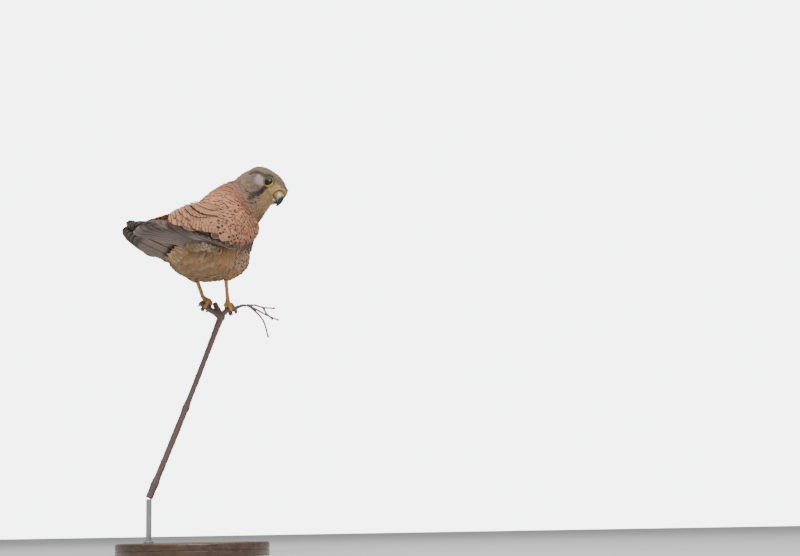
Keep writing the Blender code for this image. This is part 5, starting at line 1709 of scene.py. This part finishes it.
def area_light(name, spot, aim, size, power, colour=(1, 1, 1)):
    data = bpy.data.lights.new(name, "AREA")
    data.shape, data.size, data.energy, data.color = "DISK", size, power, colour
    lamp = bpy.data.objects.new(name, data)
    bpy.context.scene.collection.objects.link(lamp)
    lamp.location = spot
    lamp.rotation_euler = (Vector(aim) - Vector(spot)).to_track_quat("-Z", "Y").to_euler()


def set_stage(light, floor_colour):
    """A plain pale floor, a white sky, and two large soft lights above the bird."""
    half = 6.0
    mesh = bpy.data.meshes.new("floor")
    mesh.from_pydata([(-half, -half, 0), (half, -half, 0), (half, half, 0), (-half, half, 0)], [], [(0, 1, 2, 3)])
    floor = place("floor", mesh)
    mat, nodes, shader = blank_material("pale floor", 0.7, Specular_IOR_Level=0.2)
    cloud = nodes.noise(nodes.object_place(), 6.0, 3.0)
    pale = tuple(floor_colour)
    nodes.feed(shader.inputs["Base Color"], nodes.mix(cloud, pale, tuple(v * 0.97 for v in pale)))
    floor.data.materials.append(mat)
    world = bpy.data.worlds.new("white sky")
    bpy.context.scene.world = world
    world.use_nodes = True
    nodes = Nodes(world.node_tree)
    sky = world.node_tree.nodes["Background"]
    sky.inputs["Color"].default_value = (0.97, 0.985, 1.0, 1)
    seen = nodes.add("ShaderNodeLightPath").outputs["Is Camera Ray"]
    lit = SKY_LIGHT * light
    nodes.feed(sky.inputs["Strength"], nodes.math("MULTIPLY_ADD", seen, SKY_SEEN - lit, lit))
    area_light("key", (-0.5, 0.9, 1.7), (0, 0, 0.3), 1.3, 31.0 * light, (1.0, 0.96, 0.90))
    area_light("top", (0.3, -0.6, 1.8), (0, 0, 0.3), 1.5, 11.0 * light, (0.97, 0.98, 1.0))
    photo_camera()


def tinted_material(name, roughness, scale, depth, gloss=0.5, coat=0.0, stretch=(1, 1, 1), contrast=0.3):
    """A material that takes its colour from the mesh, broken up by fine noise."""
    mat, nodes, shader = blank_material(name, roughness, Specular_IOR_Level=gloss, Coat_Weight=coat)
    shader.inputs["Coat Roughness"].default_value = 0.05
    tint = nodes.add("ShaderNodeAttribute", attribute_name="tint")
    spot = nodes.stretched(nodes.object_place(), stretch)
    cloud, grain = nodes.noise(spot, scale, 4.0), nodes.noise(spot, scale * 5, 4.0)
    light = nodes.math("MULTIPLY_ADD", cloud, contrast * 2, 1 - contrast)
    shade = nodes.add("ShaderNodeCombineColor")
    for socket in shade.inputs:
        nodes.feed(socket, light)
    nodes.feed(shader.inputs["Base Color"], nodes.mix(1.0, tint.outputs["Color"], shade.outputs[0], "MULTIPLY"))
    low = max(roughness - 0.12, 0.02)
    nodes.feed(shader.inputs["Roughness"], nodes.math("MULTIPLY_ADD", grain, 0.2, low, clamp=True))
    bump(nodes, shader, nodes.math("ADD", grain, cloud), depth, 0.5)
    return mat


def scaly_material(name, colours, cells, depth, roughness=0.5):
    """Skin of small raised cells with darker lines between them."""
    mat, nodes, shader = blank_material(name, roughness, Specular_IOR_Level=0.4, Subsurface_Weight=0.08)
    shader.inputs["Subsurface Radius"].default_value = (0.0012, 0.0006, 0.0003)
    spot = nodes.object_place()
    cell = nodes.add("ShaderNodeTexVoronoi", feature="DISTANCE_TO_EDGE")
    nodes.feed(cell.inputs["Vector"], spot)
    cell.inputs["Scale"].default_value = cells
    edge = nodes.step(cell.outputs["Distance"], 0.0, 0.16)
    cloud = nodes.noise(spot, cells * 0.16, 3.0)
    body = nodes.mix(nodes.step(cloud, 0.38, 0.66), colours[0], colours[1])
    body = nodes.mix(nodes.math("MULTIPLY_ADD", edge, -0.7, 0.7), body, colours[2])
    nodes.feed(shader.inputs["Base Color"], body)
    grain = nodes.noise(spot, cells * 2.4, 3.0)
    nodes.feed(shader.inputs["Roughness"], nodes.math("MULTIPLY_ADD", grain, 0.3, roughness - 0.15))
    bump(nodes, shader, nodes.math("MULTIPLY_ADD", grain, 0.25, edge), depth, 0.7)
    return mat


def finish(name):
    """A named finish, made the first time that it is asked for."""
    if name in bpy.data.materials:
        return bpy.data.materials[name]
    group = bpy.data.node_groups.get("vane pattern") or vane_group()
    cream, warm = (0.74, 0.60, 0.46), (0.66, 0.42, 0.28)
    skin = tuple(bpy.context.scene.kestrel.foot_colour)
    wood = tuple(bpy.context.scene.kestrel.base_colour)
    makers = {
        "body skin": lambda: skin_material(name),
        "body feathers": lambda: feather_material(name, group, pale=cream, spot=0.86),
        "spotted feathers": lambda: feather_material(name, group, dark=(0.028, 0.022, 0.024), pale=warm),
        "barred feathers": lambda: feather_material(name, group, dark=(0.07, 0.048, 0.045), pale=warm, bars=13.0),
        "flight feathers": lambda: feather_material(name, group, pale=(0.50, 0.42, 0.36), roughness=0.55),
        "tail feathers": lambda: feather_material(
            name, group, dark=(0.05, 0.040, 0.044), pale=(0.45, 0.38, 0.33), bars=11.0, band=0.25, roughness=0.55,
        ),
        "eye": lambda: tinted_material(name, 0.10, 300.0, 0.01, 0.6, 1.0, contrast=0.2),
        "eye ring": lambda: tinted_material(name, 0.5, 1200.0, 0.08, 0.3, contrast=0.3),
        "cere": lambda: mottled_material(
            name, ((0.60, 0.41, 0.09), (0.50, 0.31, 0.06), (0.38, 0.20, 0.05)), 190.0, 0.5, 0.06,
        ),
        "bill horn": lambda: tinted_material(name, 0.30, 420.0, 0.03, 0.5, 0.3, contrast=0.15),
        "claw horn": lambda: tinted_material(name, 0.28, 500.0, 0.03, 0.5, 0.3, contrast=0.2),
        "foot skin": lambda: scaly_material(name, (skin, tuple(v * 0.8 for v in skin), (0.20, 0.10, 0.07)), 1100.0, 0.16),
        "foot plates": lambda: mottled_material(name, (skin, tuple(v * 0.72 for v in skin), (0.42, 0.24, 0.13)), 500.0, 0.45, 0.05),
        "bark": lambda: tinted_material(name, 0.85, 260.0, 0.25, 0.3, 0.0, (1, 1, 0.3), 0.5),
        "lenticels": lambda: mottled_material(name, ((0.34, 0.27, 0.24), (0.25, 0.19, 0.17)), 700.0, 0.9, 0.05),
        "walnut": lambda: mottled_material(
            name, (wood, tuple(v * 0.55 for v in wood), tuple(v * 1.5 for v in wood)), 22.0, 0.38, 0.03,
            (1, 9, 9), coat=0.25,
        ),
        "brushed steel": lambda: mottled_material(
            name, ((0.55, 0.55, 0.56), (0.47, 0.47, 0.49)), 120.0, 0.32, 0.02, (14, 14, 0.4), metallic=1.0,
        ),
    }
    return makers[name]()


# Add-on

class KestrelSettings(bpy.types.PropertyGroup):
    """Sizes and colours of the kestrel that a user would change."""

    feather_spacing: bpy.props.FloatProperty(
        name="Feather spacing", description="Distance between body feathers as a share of the usual one",
        default=1.0, min=0.7, max=3.0, subtype="FACTOR",
    )
    iris_colour: bpy.props.FloatVectorProperty(
        name="Iris", description="Colour of the eye round its pupil", default=(0.020, 0.012, 0.009),
        min=0, max=1, size=3, subtype="COLOR",
    )
    foot_colour: bpy.props.FloatVectorProperty(
        name="Feet", description="Colour of the bare skin of legs and toes", default=(0.62, 0.33, 0.10),
        min=0, max=1, size=3, subtype="COLOR",
    )
    base_colour: bpy.props.FloatVectorProperty(
        name="Stand", description="Colour of the wooden base", default=(0.11, 0.062, 0.038),
        min=0, max=1, size=3, subtype="COLOR",
    )
    floor_colour: bpy.props.FloatVectorProperty(
        name="Floor", description="Colour of the floor", default=(0.80, 0.80, 0.81),
        min=0, max=1, size=3, subtype="COLOR",
    )
    light: bpy.props.FloatProperty(
        name="Light", description="Strength of the soft light as a share of the usual one",
        default=1.0, min=0.1, max=5.0, subtype="FACTOR",
    )


class KESTREL_OT_plumage(bpy.types.Operator):
    """Grow the skin and the small feathers of head, neck, body and thighs"""

    bl_idname = "kestrel.plumage"
    bl_label = "Body plumage"

    def execute(self, context):
        grow_plumage(context.scene.kestrel.feather_spacing)
        return {"FINISHED"}


class KESTREL_OT_wings(bpy.types.Operator):
    """Fold both wings with their flight feathers and coverts"""

    bl_idname = "kestrel.wings"
    bl_label = "Wings"

    def execute(self, context):
        for side in (RIGHT, LEFT):
            fold_wing(side)
        return {"FINISHED"}


class KESTREL_OT_tail(bpy.types.Operator):
    """Fold the tail with its bands and coverts"""

    bl_idname = "kestrel.tail"
    bl_label = "Tail"

    def execute(self, context):
        fold_tail()
        return {"FINISHED"}


class KESTREL_OT_head(bpy.types.Operator):
    """Shape the eyes with their rings, the cere and both halves of the bill"""

    bl_idname = "kestrel.head"
    bl_label = "Eyes and bill"

    def execute(self, context):
        shape_eyes(tuple(context.scene.kestrel.iris_colour))
        shape_bill()
        return {"FINISHED"}


class KESTREL_OT_feet(bpy.types.Operator):
    """Shape legs, toes, their plates and the claws"""

    bl_idname = "kestrel.feet"
    bl_label = "Feet"

    def execute(self, context):
        for side in (RIGHT, LEFT):
            shape_foot(side)
        return {"FINISHED"}


class KESTREL_OT_perch(bpy.types.Operator):
    """Shape the branch tip, its bud scars and the side twig"""

    bl_idname = "kestrel.perch"
    bl_label = "Perch"

    def execute(self, context):
        shape_perch()
        return {"FINISHED"}


class KESTREL_OT_stand(bpy.types.Operator):
    """Turn the wooden base and the steel rod"""

    bl_idname = "kestrel.stand"
    bl_label = "Stand"

    def execute(self, context):
        shape_stand()
        return {"FINISHED"}


class KESTREL_OT_stage(bpy.types.Operator):
    """Lay the floor and set the light and the camera"""

    bl_idname = "kestrel.stage"
    bl_label = "Floor, light and camera"

    def execute(self, context):
        settings = context.scene.kestrel
        set_stage(settings.light, settings.floor_colour)
        return {"FINISHED"}


OPERATORS = (
    KESTREL_OT_plumage, KESTREL_OT_wings, KESTREL_OT_tail, KESTREL_OT_head, KESTREL_OT_feet,
    KESTREL_OT_perch, KESTREL_OT_stand, KESTREL_OT_stage,
)


class KESTREL_PT_panel(bpy.types.Panel):
    """Lists the kestrel's sizes, colours and pieces"""

    bl_idname = "KESTREL_PT_panel"
    bl_label = "Perched kestrel"
    bl_space_type = "VIEW_3D"
    bl_region_type = "UI"
    bl_category = "Kestrel"

    def draw(self, context):
        for name in KestrelSettings.__annotations__:
            self.layout.prop(context.scene.kestrel, name)
        for operator in OPERATORS:
            self.layout.operator(operator.bl_idname)


CLASSES = (KestrelSettings, *OPERATORS, KESTREL_PT_panel)


def register():
    for cls in CLASSES:
        bpy.utils.register_class(cls)
    bpy.types.Scene.kestrel = bpy.props.PointerProperty(type=KestrelSettings)


def unregister():
    del bpy.types.Scene.kestrel
    for cls in reversed(CLASSES):
        bpy.utils.unregister_class(cls)


def main():
    register()
    for step in ("plumage", "wings", "tail", "head", "feet", "perch", "stand", "stage"):
        getattr(bpy.ops.kestrel, step)()
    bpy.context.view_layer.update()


if __name__ == "__main__":
    main()
